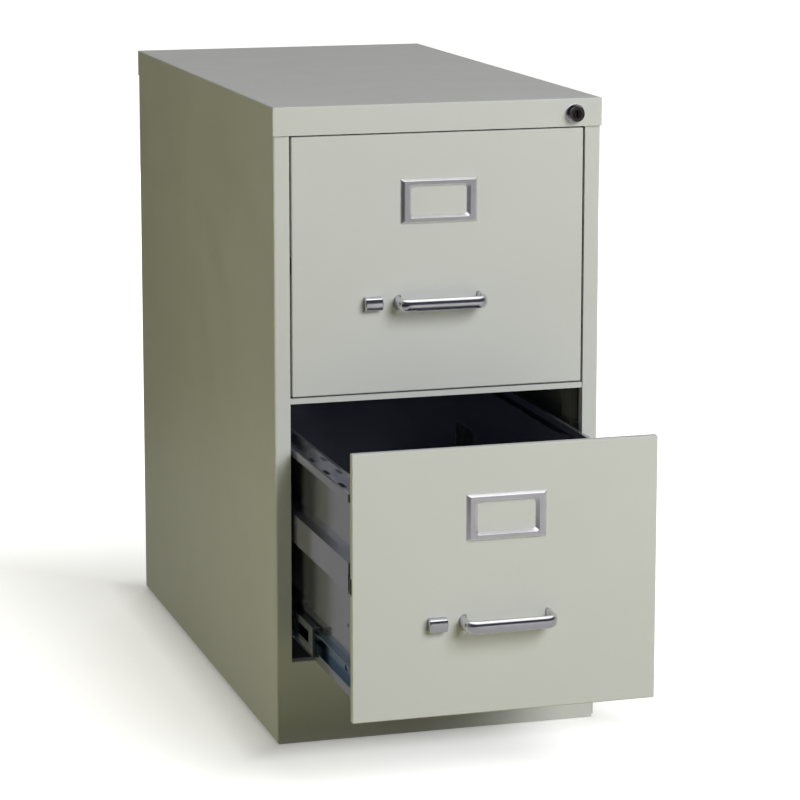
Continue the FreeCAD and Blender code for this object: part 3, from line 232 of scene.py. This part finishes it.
def galvanised_material(name, colour):
    """Zinc-coated sheet: fine faint crystals, rolling lines and cloudy gloss."""
    material, graph, place, shader = new_material(name)
    crystal = graph.add("ShaderNodeTexVoronoi", {"feature": "SMOOTH_F1"}, vector=place,
                        scale=SHEET_CRYSTAL_SCALE)
    facet = graph.add("ShaderNodeSeparateColor", color=crystal.outputs["Color"])
    dull = scaled(colour, SHEET_DULL)
    share = graph.remap(facet.outputs[0], 0.0, 1.0, at_high=SHEET_CRYSTAL_SHARE)
    crystals = graph.blend(share, colour, dull)
    lines = graph.lines(place, **SHEET_LINES)
    streaked = graph.blend(graph.remap(lines, **SHEET_STREAKS), crystals, dull)
    stained = graph.blend(graph.layer(place, **SHEET_STAINS), streaked, dull)
    roughness = graph.layer(place, **SHEET_ROUGHNESS)
    grain = graph.bump(lines, **SHEET_GRAIN)
    wave = graph.relief(place, under=grain, **SHEET_WAVE)
    set_finish(graph, shader, stained, roughness, wave, SHEET_METALLIC)
    return material


ZINC_STEEL = (0.24, 0.27, 0.33)
BLUE_ZINC = (0.13, 0.23, 0.32)
DRAWN_LINES = dict(scales=(900.0, 9.0, 900.0), detail=3.0)
DRAWN_TINT = dict(scale=26.0, detail=1.0, low=0.4, high=0.7, at_high=0.4)
DRAWN_WARM = (1.05, 0.96, 0.86)
DRAWN_SCORES = dict(low=0.45, high=0.75, at_high=0.30)
DRAWN_SCORES_DARK = 0.6
DRAWN_ROUGHNESS = dict(scale=60.0, detail=2.0, low=0.3, high=0.7, at_low=0.18, at_high=0.23)
DRAWN_GRAIN = dict(strength=0.08, depth=0.00004)


def drawn_zinc_material(name, colour):
    """Bright zinc plate on drawn steel, warm in places, with fine lines along the slide."""
    material, graph, place, shader = new_material(name)
    lines = graph.lines(place, **DRAWN_LINES)
    warm = tuple(channel * factor for channel, factor in zip(colour, DRAWN_WARM))
    tinted = graph.blend(graph.layer(place, **DRAWN_TINT), colour, warm)
    scored = graph.blend(graph.remap(lines, **DRAWN_SCORES), tinted,
                         scaled(colour, DRAWN_SCORES_DARK))
    roughness = graph.layer(place, **DRAWN_ROUGHNESS)
    grain = graph.bump(lines, **DRAWN_GRAIN)
    set_finish(graph, shader, scored, roughness, grain, 1.0)
    return material


CHROME = (0.72, 0.715, 0.745)
# Darker chrome for the lock's plunger: a painted dim reflection
DIM_REFLECTION_CHROME = (0.17, 0.153, 0.152)
CHROME_LINES = dict(scales=(30.0, 1400.0, 1400.0), detail=3.0)
CHROME_HAZE = dict(scale=70.0, detail=5.0, low=0.35, high=0.75)
CHROME_HAZE_SHARE = 0.18
CHROME_HAZE_DARK = 0.7
CHROME_ROUGH_HAZE = dict(low=0.0, high=1.0, at_low=0.10, at_high=0.18)
CHROME_ROUGH_LINES = dict(low=0.4, high=0.7, at_high=0.06)
CHROME_WAVE = dict(scale=90.0, detail=1.0, strength=0.10, depth=0.0004)
CHROME_GRAIN = dict(strength=0.07, depth=0.00004)


def chrome_material(name, colour):
    """Bright plate with fine polishing lines along X, finger haze and a soft wave."""
    material, graph, place, shader = new_material(name)
    lines = graph.lines(place, **CHROME_LINES)
    haze = graph.layer(place, **CHROME_HAZE)
    hazed = graph.blend(graph.math("MULTIPLY", haze, CHROME_HAZE_SHARE), colour,
                        scaled(colour, CHROME_HAZE_DARK))
    roughness = graph.math("ADD", graph.remap(haze, **CHROME_ROUGH_HAZE),
                           graph.remap(lines, **CHROME_ROUGH_LINES))
    wave = graph.relief(place, **CHROME_WAVE)
    grain = graph.bump(lines, under=wave, **CHROME_GRAIN)
    set_finish(graph, shader, hazed, roughness, grain, 1.0)
    return material


SATIN_PLATE = (0.88, 0.87, 0.90)
SATIN_BLAST = dict(scale=1600.0, detail=2.0)
SATIN_CLOUDS = dict(scale=60.0, detail=3.0, low=0.35, high=0.7, at_high=0.25)
SATIN_CLOUDS_DARK = 0.8
SATIN_SPECKS = dict(low=0.4, high=0.75, at_high=0.2)
SATIN_SPECKS_DARK = 0.7
SATIN_ROUGHNESS = dict(low=0.3, high=0.7, at_low=0.28, at_high=0.34)
SATIN_GRAIN = dict(strength=0.10, depth=0.00004)


def satin_material(name, colour):
    """Dull plate, finely blasted, with a faint cloud."""
    material, graph, place, shader = new_material(name)
    blast = graph.noise(place, **SATIN_BLAST)
    clouded = graph.blend(graph.layer(place, **SATIN_CLOUDS), colour,
                          scaled(colour, SATIN_CLOUDS_DARK))
    specked = graph.blend(graph.remap(blast, **SATIN_SPECKS), clouded,
                          scaled(colour, SATIN_SPECKS_DARK))
    roughness = graph.remap(blast, **SATIN_ROUGHNESS)
    grain = graph.bump(blast, **SATIN_GRAIN)
    set_finish(graph, shader, specked, roughness, grain, 1.0)
    return material


LOCK_METAL = (0.05, 0.041, 0.040)
LOCK_METALLIC = 0.9
LOCK_RINGS = dict(scale=420.0, distortion=0.6)
LOCK_WEAR = dict(scale=260.0, detail=4.0, low=0.4, high=0.7, at_high=0.6)
LOCK_WEAR_DARK = 0.45
LOCK_ROUGHNESS = dict(low=0.0, high=1.0, at_low=0.22, at_high=0.36)
LOCK_GRAIN = dict(strength=0.2, depth=0.00005)


def lock_material(name, colour, centre):
    """Turned metal with rings about the lock's axis, dark where it is worn."""
    material, graph, place, shader = new_material(name)
    about = graph.add("ShaderNodeMapping", {"vector_type": "POINT"}, vector=place,
                      location=(-centre.x, 0.0, -centre.z)).outputs["Vector"]
    rings = graph.add("ShaderNodeTexWave", {"wave_type": "RINGS", "rings_direction": "Y"},
                      vector=about, **LOCK_RINGS).outputs["Fac"]
    worn = graph.blend(graph.layer(place, **LOCK_WEAR), colour,
                       scaled(colour, LOCK_WEAR_DARK))
    roughness = graph.remap(rings, **LOCK_ROUGHNESS)
    grain = graph.bump(rings, **LOCK_GRAIN)
    set_finish(graph, shader, worn, roughness, grain, LOCK_METALLIC)
    return material


PLASTIC = (0.012, 0.012, 0.013)
PLASTIC_WORN = (0.05, 0.05, 0.052)
PLASTIC_WEAR_SHARE = 0.5
PLASTIC_GRAIN = dict(scale=900.0, detail=2.0)
PLASTIC_ROUGHNESS = dict(low=0.3, high=0.7, at_low=0.42, at_high=0.58)
PLASTIC_RELIEF = dict(strength=0.25, depth=0.00008)


def plastic_material(name, colour):
    """Moulded nylon with a fine grain and rubbed edges."""
    material, graph, place, shader = new_material(name)
    worn = graph.blend(graph.math("MULTIPLY", edge_wear_and_highlight(graph), PLASTIC_WEAR_SHARE), colour,
                       PLASTIC_WORN)
    grain = graph.noise(place, **PLASTIC_GRAIN)
    roughness = graph.remap(grain, **PLASTIC_ROUGHNESS)
    relief = graph.bump(grain, **PLASTIC_RELIEF)
    set_finish(graph, shader, worn, roughness, relief)
    return material


def make_materials():
    """A material for each slot of the record, and three more looks."""
    low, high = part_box("lock_plug")
    centre = (low + high) / 2
    return {
        "grey_paint": paint_material("putty_enamel", PAINT, PAINT_CLOUDED),
        "dark_paint": paint_material("dark_enamel", DARK_PAINT, DARK_PAINT_CLOUDED),
        "zinc_sheet": galvanised_material("galvanised_sheet", ZINC_SHEET),
        "zinc_steel": drawn_zinc_material("bright_zinc", ZINC_STEEL),
        "blue_zinc": drawn_zinc_material("blue_zinc", BLUE_ZINC),
        "black_plastic": plastic_material("black_nylon", PLASTIC),
        "chrome": chrome_material("bright_chrome", CHROME),
        # The plunger's chrome, darkened as a painted dim reflection
        "dark_chrome": chrome_material("dark_chrome", DIM_REFLECTION_CHROME),
        "satin": satin_material("satin_plate", SATIN_PLATE),
        "lock_metal": lock_material("lock_metal", LOCK_METAL, centre),
    }


# Nodes that look a little different from the rest of their slot: the inner slide by how it
# ends, the lock's plunger by darker chrome that is a painted dim reflection
OWN_LOOKS = {
    "inner_slide": "blue_zinc",
    "lock_plunger": "dark_chrome",
}


def dress_nodes(materials):
    """Give each CAD node the detailed material of its slot in the record."""
    for part in frame["record"]["subparts"]:
        node, look = part["node"], part["material_slot"]
        for ending, own_look in OWN_LOOKS.items():
            if node.endswith(ending):
                look = own_look
        mesh = NODES[node].data
        mesh.materials.clear()
        mesh.materials.append(materials[look])


def new_piece(name, mesh, material, body, node):
    """A visible mesh that rides on a body and stands for a CAD node."""
    piece = bpy.data.objects.new(name, mesh)
    bpy.context.scene.collection.objects.link(piece)
    mesh.materials.append(material)
    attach(piece, body)
    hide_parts(node)


def loft(name, rings, endless=False):
    """A smooth mesh through rings that have the same number of points. Its ends are
    closed, or joined to each other where it is endless."""
    work = bmesh.new()
    layers = [[work.verts.new(point) for point in ring] for ring in rings]
    count = len(rings[0])
    after_last = [layers[0]] if endless else []
    for first, second in zip(layers, layers[1:] + after_last):
        for index in range(count):
            after = (index + 1) % count
            work.faces.new((first[index], first[after], second[after], second[index]))
    if not endless:
        work.faces.new(layers[0][::-1])
        work.faces.new(layers[-1])
    bmesh.ops.recalc_face_normals(work, faces=work.faces)
    mesh = bpy.data.meshes.new(name)
    work.to_mesh(mesh)
    work.free()
    for polygon in mesh.polygons:
        polygon.use_smooth = True
    return mesh


# Handle. The higher the power of a half of its section, the more that is like a box.
HANDLE_BAR = 0.014
HANDLE_THICK = 0.0055
HANDLE_BEND = 0.015
HANDLE_FOOT = 0.0085
HANDLE_FOOT_RISE = 0.005
BAND_STEPS = 12
LEG_STEPS = 6
BEND_STEPS = 14
SECTION_POINTS = 36
OUTER_POWER = 2.2
INNER_POWER = 4.0
CROWN_SHARE = 0.72


def handle_path(low, high):
    """Points and outward normals of the bow's middle line, seen from above."""
    reach = HANDLE_THICK / 2
    left, right = low.x + reach, high.x - reach
    front, back = low.y + reach, high.y
    radius = HANDLE_BEND - reach
    leg = []
    for step in range(LEG_STEPS):
        share = step / LEG_STEPS
        leg.append((left, back + (front + radius - back) * share, -1.0, 0.0))
    for step in range(BEND_STEPS + 1):
        angle = math.pi + math.pi / 2 * step / BEND_STEPS
        across, along = math.cos(angle), math.sin(angle)
        leg.append((left + radius + radius * across, front + radius + radius * along,
                    across, along))
    band = []
    for step in range(1, BAND_STEPS):
        share = step / BAND_STEPS
        band.append((left + radius + (right - left - 2 * radius) * share, front, 0.0, -1.0))
    return leg + band + [(left + right - x, y, -nx, ny) for x, y, nx, ny in leg[::-1]]


def boxed(value, power):
    """A sine or cosine pushed outward, which turns a circle into a rounded box."""
    return math.copysign(abs(value) ** (2 / power), value)


def handle_section(x, y, nx, ny, height, thick, middle):
    """One ring of the bow: crowned outside, flatter inside."""
    ring = []
    for index in range(SECTION_POINTS):
        angle = 2 * math.pi * index / SECTION_POINTS
        power, share = INNER_POWER, 1 - CROWN_SHARE
        if math.cos(angle) > 0:
            power, share = OUTER_POWER, CROWN_SHARE
        out = (boxed(math.cos(angle), power) * share + 0.5 - CROWN_SHARE) * thick
        up = boxed(math.sin(angle), power)
        ring.append(Vector((x + nx * out, y + ny * out, middle + up * height / 2)))
    return ring


def make_handle(name, material):
    """Chromed bow whose ends flare into feet on the front."""
    low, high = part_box(f"{name}_handle")
    middle = (low.z + high.z) / 2
    tall = high.z - low.z
    rings = []
    for x, y, nx, ny in handle_path(low, high):
        flare = max(0.0, 1 - (high.y - y) / HANDLE_FOOT_RISE) ** 2
        height = HANDLE_BAR + (tall - HANDLE_BAR) * flare
        thick = HANDLE_THICK + (HANDLE_FOOT - HANDLE_THICK) * flare
        inward = (thick - HANDLE_THICK) / 2 * (1 if x < 0 else -1)
        rings.append(handle_section(x + inward, y, nx, ny, height, thick, middle))
    mesh = loft(f"{name}_bow", rings)
    new_piece(f"{name}_bow", mesh, material, f"{name}_drawer", f"{name}_handle")


# Label frame: how far in from its outline on X and on Z, height off the front and
# corner radius of each ring across the rail, in millimetres
MM = 0.001
LABEL_RINGS = (
    (0.0, 0.0, 0.0, 0.8),
    (0.0, 0.0, 0.2, 0.8),
    (0.0, 0.0, 0.5, 0.8),
    (0.25, 0.2, 0.95, 0.9),
    (0.5, 0.4, 1.25, 0.9),
    (2.9, 2.1, 4.0, 1.2),
    (3.15, 2.3, 4.25, 1.2),
    (3.45, 2.5, 4.45, 1.3),
    (3.6, 2.65, 4.5, 1.4),
    (3.9, 2.9, 4.5, 1.5),
    (8.6, 5.9, 4.5, 3.4),
    (8.9, 6.1, 4.5, 3.5),
    (9.05, 6.25, 4.45, 3.6),
    (9.3, 6.45, 4.2, 3.7),
    (9.5, 6.6, 3.95, 3.8),
    (12.0, 8.6, 0.6, 4.2),
    (12.4, 8.9, 0.1, 4.2),
    (12.4, 8.9, 0.0, 4.2),
)
CORNER_STEPS = 8


def rounded_outline(half_x, half_z, radius):
    """Points round a rectangle with round corners, about its middle."""
    outline = []
    for quarter, (side_x, side_z) in enumerate(((1, 1), (-1, 1), (-1, -1), (1, -1))):
        for step in range(CORNER_STEPS + 1):
            angle = math.pi / 2 * (quarter + step / CORNER_STEPS)
            outline.append((side_x * (half_x - radius) + radius * math.cos(angle),
                            side_z * (half_z - radius) + radius * math.sin(angle)))
    return outline


def make_label_frame(name, material):
    """Plated frame with a bevel outside, a flat face and sloping sides round its window."""
    low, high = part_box(f"{name}_label_holder")
    middle_x, middle_z = (low.x + high.x) / 2, (low.z + high.z) / 2
    half_x, half_z = (high.x - low.x) / 2, (high.z - low.z) / 2
    rings = []
    for in_x, in_z, height, radius in LABEL_RINGS:
        outline = rounded_outline(half_x - in_x * MM, half_z - in_z * MM, radius * MM)
        y = high.y - height * MM
        rings.append([(middle_x + x, y, middle_z + z) for x, z in outline])
    mesh = loft(f"{name}_label_frame", rings, endless=True)
    new_piece(f"{name}_label_frame", mesh, material, f"{name}_drawer",
              f"{name}_label_holder")


# Latch button. Its face falls back from the middle by a power of the height, and more
# steeply in the last share of it, by shares of the crown.
BUTTON_WIDTH = 0.0205
BUTTON_CROWN = 0.0016
BUTTON_CROWN_POWER = 2.2
BUTTON_CROWN_DROP = 0.75
BUTTON_EDGE_FROM = 0.8
BUTTON_EDGE_SHARE = 0.2
BUTTON_EDGE_DROP = 0.55
BUTTON_EDGE_TUCK = 0.01
BUTTON_ROUND = 0.0016
BUTTON_GAP = 0.0002
STEM_INSET = 0.0045
STEM_SIZE = 0.006
BUTTON_FACE_STEPS = 12
BUTTON_END_STEPS = 5


def button_profile(front, back, low_z, high_z, shrink):
    """Outline of the button seen from its end: square behind, crowned in front."""
    middle, half = (low_z + high_z) / 2, (high_z - low_z) / 2 - shrink
    face = front + shrink
    waist = (back + face + BUTTON_CROWN) / 2
    outline = [(back, middle + half), (waist, middle + half)]
    for step in range(BUTTON_FACE_STEPS + 1):
        share = 1 - 2 * step / BUTTON_FACE_STEPS
        crown = BUTTON_CROWN_DROP * abs(share) ** BUTTON_CROWN_POWER
        edge = max(0.0, abs(share) - BUTTON_EDGE_FROM) / BUTTON_EDGE_SHARE
        outline.append((face + BUTTON_CROWN * (crown + BUTTON_EDGE_DROP * edge ** 2),
                        middle + half * share * (1 - BUTTON_EDGE_TUCK * edge)))
    return outline + [(waist, middle - half), (back, middle - half)]


def add_block(mesh, low, high):
    """Add a closed block to a mesh, for a part that is hidden behind another."""
    work = bmesh.new()
    work.from_mesh(mesh)
    corners = ((low[0], low[2]), (high[0], low[2]), (high[0], high[2]), (low[0], high[2]))
    sides = [[work.verts.new((x, y, z)) for x, z in corners] for y in (low[1], high[1])]
    faces = [work.faces.new(sides[0]), work.faces.new(sides[1][::-1])]
    for index in range(len(corners)):
        after = (index + 1) % len(corners)
        faces.append(work.faces.new((sides[0][after], sides[0][index], sides[1][index],
                                     sides[1][after])))
    bmesh.ops.recalc_face_normals(work, faces=faces)
    work.to_mesh(mesh)
    work.free()


def make_button(name, material):
    """Crowned thumb button with its stem into the front."""
    low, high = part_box(f"{name}_latch_button")
    left, right = low.x, low.x + BUTTON_WIDTH
    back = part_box(f"{name}_drawer_front")[0].y - BUTTON_GAP
    corner = []
    for step in range(BUTTON_END_STEPS + 1):
        turn = math.pi / 2 * step / BUTTON_END_STEPS
        corner.append((BUTTON_ROUND * (1 - math.sin(turn)),
                       BUTTON_ROUND * (1 - math.cos(turn))))
    ends = [(left + along, shrink) for shrink, along in corner]
    ends += [(right - along, shrink) for shrink, along in corner[::-1]]
    rings = [[(x, y, z) for y, z in button_profile(low.y, back, low.z, high.z, shrink)]
             for x, shrink in ends]
    mesh = loft(f"{name}_thumb_button", rings)
    stem_left, middle = left + STEM_INSET, (low.z + high.z) / 2
    add_block(mesh, (stem_left, back - BUTTON_GAP, middle - STEM_SIZE / 2),
              (stem_left + STEM_SIZE, high.y, middle + STEM_SIZE / 2))
    new_piece(f"{name}_thumb_button", mesh, material, f"{name}_latch",
              f"{name}_latch_button")


# Camera, fitted to the photograph with the object at its real size
CAMERA_PLACE = (-1.0153, -3.6153, 1.0878)
CAMERA_YAW = -16.564
CAMERA_PITCH = -10.146
CAMERA_ROLL = 0.028
CAMERA_LENS = 139.8
CAMERA_SHIFT = -0.10
CAMERA_SENSOR = 36.0
CAMERA_FAR = 60.0


def make_camera():
    data = bpy.data.cameras.new("camera")
    data.sensor_width = CAMERA_SENSOR
    data.lens = CAMERA_LENS
    data.shift_y = CAMERA_SHIFT
    data.clip_end = CAMERA_FAR
    camera = bpy.data.objects.new("camera", data)
    camera.location = CAMERA_PLACE
    turn = Euler((math.radians(90 + CAMERA_PITCH), 0.0, math.radians(CAMERA_YAW)), "XYZ")
    roll = Matrix.Rotation(math.radians(CAMERA_ROLL), 3, "Z")
    camera.rotation_euler = (turn.to_matrix() @ roll).to_euler("XYZ")
    bpy.context.scene.collection.objects.link(camera)
    bpy.context.scene.camera = camera


# Lamps, with their power in watts
KEY_AZIMUTH = 24.0
KEY_ELEVATION = 27.5
KEY_DISTANCE = 4.3
KEY_SIZE = 2.3
KEY_POWER = 152.0
BACK_PLACE = (1.3, 4.2, 1.5)
BACK_SIZE = 2.4
BACK_POWER = 52.0
FILL_PLACE = (-1.68, -0.5, 0.10)
FILL_SIZE = 1.1
FILL_POWER = 9.6
FILL_COLOUR = (1.0, 0.95, 0.66)


def make_lamp(name, place, size, power, colour=WHITE):
    """A square soft box that faces the middle of the cabinet."""
    data = bpy.data.lights.new(name, "AREA")
    data.shape = "SQUARE"
    data.size = size
    data.energy = power
    data.color = colour
    lamp = bpy.data.objects.new(name, data)
    lamp.visible_glossy = False
    lamp.location = place
    ahead = (CAD_LOW + CAD_HIGH) / 2 - Vector(place)
    lamp.rotation_euler = ahead.to_track_quat("-Z", "Y").to_euler()
    bpy.context.scene.collection.objects.link(lamp)


def make_lamps():
    """One large soft box up and to the right in front, a weak one low on the left, and
    one behind. No finish mirrors them: it mirrors the sky and the floor instead."""
    turn, lift = math.radians(KEY_AZIMUTH), math.radians(KEY_ELEVATION)
    away = Vector((math.sin(turn) * math.cos(lift), -math.cos(turn) * math.cos(lift),
                   math.sin(lift)))
    place = (CAD_LOW + CAD_HIGH) / 2 + away * KEY_DISTANCE
    make_lamp("key", place, KEY_SIZE, KEY_POWER)
    make_lamp("fill", FILL_PLACE, FILL_SIZE, FILL_POWER, FILL_COLOUR)
    make_lamp("back", BACK_PLACE, BACK_SIZE, BACK_POWER)


def seen_rays(graph):
    """Which rays come from the eye, and which by way of a mirror or clear glass."""
    path = graph.add("ShaderNodeLightPath")
    mirrored = graph.math("MAXIMUM", path.outputs["Is Glossy Ray"],
                          path.outputs["Is Transmission Ray"])
    return path.outputs["Is Camera Ray"], mirrored


# The sky as it lights the cabinet
SKY_COLOUR = (0.092, 0.090, 0.055)
# The sky as metal mirrors it: low in front, low behind, and high up
SKY_MIRRORED_FRONT = (0.05, 0.052, 0.07)
SKY_MIRRORED_LOW = (0.38, 0.38, 0.38)
SKY_MIRRORED_HIGH = (1.5, 1.5, 1.5)
# Parts of a direction between which the front turns into the back, and low into high
SKY_TURN = 0.3
SKY_LOW_TO = 0.42
SKY_HIGH_FROM = 0.62


def make_world():
    """A white backdrop to look at, bands for metal to mirror, and a dim even light."""
    world = bpy.data.worlds.new("studio")
    world.use_nodes = True
    bpy.context.scene.world = world
    graph = Graph(world.node_tree)
    direct, mirrored = seen_rays(graph)
    place = graph.add("ShaderNodeTexCoord").outputs["Generated"]
    parts = graph.add("ShaderNodeSeparateXYZ", vector=place)
    behind = graph.remap(parts.outputs["Y"], -SKY_TURN, SKY_TURN)
    low = graph.blend(behind, SKY_MIRRORED_FRONT, SKY_MIRRORED_LOW)
    high_share = graph.remap(parts.outputs["Z"], SKY_LOW_TO, SKY_HIGH_FROM)
    reflected = graph.blend(high_share, low, SKY_MIRRORED_HIGH)
    unseen = graph.blend(mirrored, SKY_COLOUR, reflected)
    colour = graph.blend(direct, unseen, WHITE)
    sky = graph.add("ShaderNodeBackground", color=colour, strength=1.0)
    graph.add("ShaderNodeOutputWorld", surface=sky.outputs[0])


FLOOR_REACH = 12.0
FLOOR_DROP = 0.0008
# The floor as the eye sees it: in the open, with a faint mottle, and in painted shade under
# the case
FLOOR_PALE = (0.90, 0.90, 0.90)
FLOOR_MOTTLE = dict(scale=2.0, detail=3.0, low=0.3, high=0.7)
FLOOR_MOTTLE_DARK = 0.99
FLOOR_SHADE_UNDER_CASE = (0.18, 0.18, 0.17)
# The floor as it throws light up at the cabinet
FLOOR_BOUNCE = (0.56, 0.56, 0.31)
# The floor as metal mirrors it: mid grey, and dim far off on the left and behind
FLOOR_MIRRORED = (0.31, 0.305, 0.325)
FLOOR_MIRRORED_FAR = (0.065, 0.063, 0.075)
FLOOR_FAR_FROM = 0.9
FLOOR_FAR_TO = 1.7
# How much white the floor adds for the eye beside the case, and further off
LIFT_NEAR = 0.55
LIFT_FAR = 1.0
LIFT_EDGE = 0.05
LIFT_SPREAD = 0.4
# How much white it adds in what metal mirrors of it, where it isn't far off
LIFT_MIRRORED = 0.19


def floor_lift(graph, place):
    """White that grows from nothing under the case to a full backdrop far away, and how far
    a point is under the case. Less white close to the case keeps its real shadow there and
    paints a soft contact shade at its foot."""
    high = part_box("top_cap")[1]
    parts = graph.add("ShaderNodeSeparateXYZ", vector=place)
    across = graph.math("ABSOLUTE", parts.outputs["X"], 0.0)
    along = graph.math("ABSOLUTE", parts.outputs["Y"], 0.0)
    beside = graph.math("SUBTRACT", across, high.x)
    behind = graph.math("SUBTRACT", along, high.y)
    outside = graph.math("MAXIMUM", beside, behind)
    near = graph.remap(outside, -LIFT_EDGE, LIFT_EDGE, at_high=LIFT_NEAR)
    far = graph.remap(outside, LIFT_EDGE, LIFT_SPREAD, at_high=LIFT_FAR - LIFT_NEAR)
    # How far a point is under the case, which sets the painted shade of the floor there
    under = graph.remap(outside, -LIFT_EDGE, 0.0, at_low=1.0, at_high=0.0)
    return graph.math("ADD", near, far), under


def floor_material():
    """Pale matt surface that keeps the case's soft shadow, with painted shade under the
    case.
    """
    material = bpy.data.materials.new("studio_floor")
    material.use_nodes = True
    graph = Graph(material.node_tree)
    direct, mirrored = seen_rays(graph)
    place = graph.add("ShaderNodeTexCoord").outputs["Object"]
    pale = graph.blend(graph.layer(place, **FLOOR_MOTTLE), FLOOR_PALE,
                       scaled(FLOOR_PALE, FLOOR_MOTTLE_DARK))
    parts = graph.add("ShaderNodeSeparateXYZ", vector=place)
    leftward = graph.math("MULTIPLY", parts.outputs["X"], -1.0)
    distance = graph.math("MAXIMUM", leftward, parts.outputs["Y"])
    far = graph.remap(distance, FLOOR_FAR_FROM, FLOOR_FAR_TO)
    reflected = graph.blend(far, FLOOR_MIRRORED, FLOOR_MIRRORED_FAR)
    unseen = graph.blend(mirrored, FLOOR_BOUNCE, reflected)
    lifted, under = floor_lift(graph, place)
    # Under the case the floor is seen in painted shade
    colour = graph.blend(direct, unseen, graph.blend(under, pale, FLOOR_SHADE_UNDER_CASE))
    matt = graph.add("ShaderNodeBsdfDiffuse", color=colour)
    seen_lift = graph.math("MULTIPLY", direct, lifted)
    near = graph.math("SUBTRACT", 1.0, far)
    glint = graph.math("MULTIPLY", graph.math("MULTIPLY", mirrored, near), LIFT_MIRRORED)
    lift = graph.add("ShaderNodeEmission", color=(*WHITE, 1.0),
                     strength=graph.math("ADD", seen_lift, glint))
    both = graph.add("ShaderNodeAddShader", slot_0=matt.outputs[0], slot_1=lift.outputs[0])
    graph.add("ShaderNodeOutputMaterial", surface=both.outputs[0])
    return material


def make_floor():
    """A wide floor just under the case."""
    mesh = bpy.data.meshes.new("floor")
    level = CAD_LOW.z - FLOOR_DROP
    corners = [(x * FLOOR_REACH, y * FLOOR_REACH, level)
               for x, y in ((-1, -1), (1, -1), (1, 1), (-1, 1))]
    mesh.from_pydata(corners, [], [(0, 1, 2, 3)])
    mesh.materials.append(floor_material())
    floor = bpy.data.objects.new("floor", mesh)
    bpy.context.scene.collection.objects.link(floor)


MATERIALS = make_materials()
dress_nodes(MATERIALS)
for drawer in DRAWERS:
    make_handle(drawer, MATERIALS["chrome"])
    make_label_frame(drawer, MATERIALS["satin"])
    make_button(drawer, MATERIALS["chrome"])
make_camera()
make_lamps()
make_world()
make_floor()
bpy.context.scene.view_settings.view_transform = "Standard"
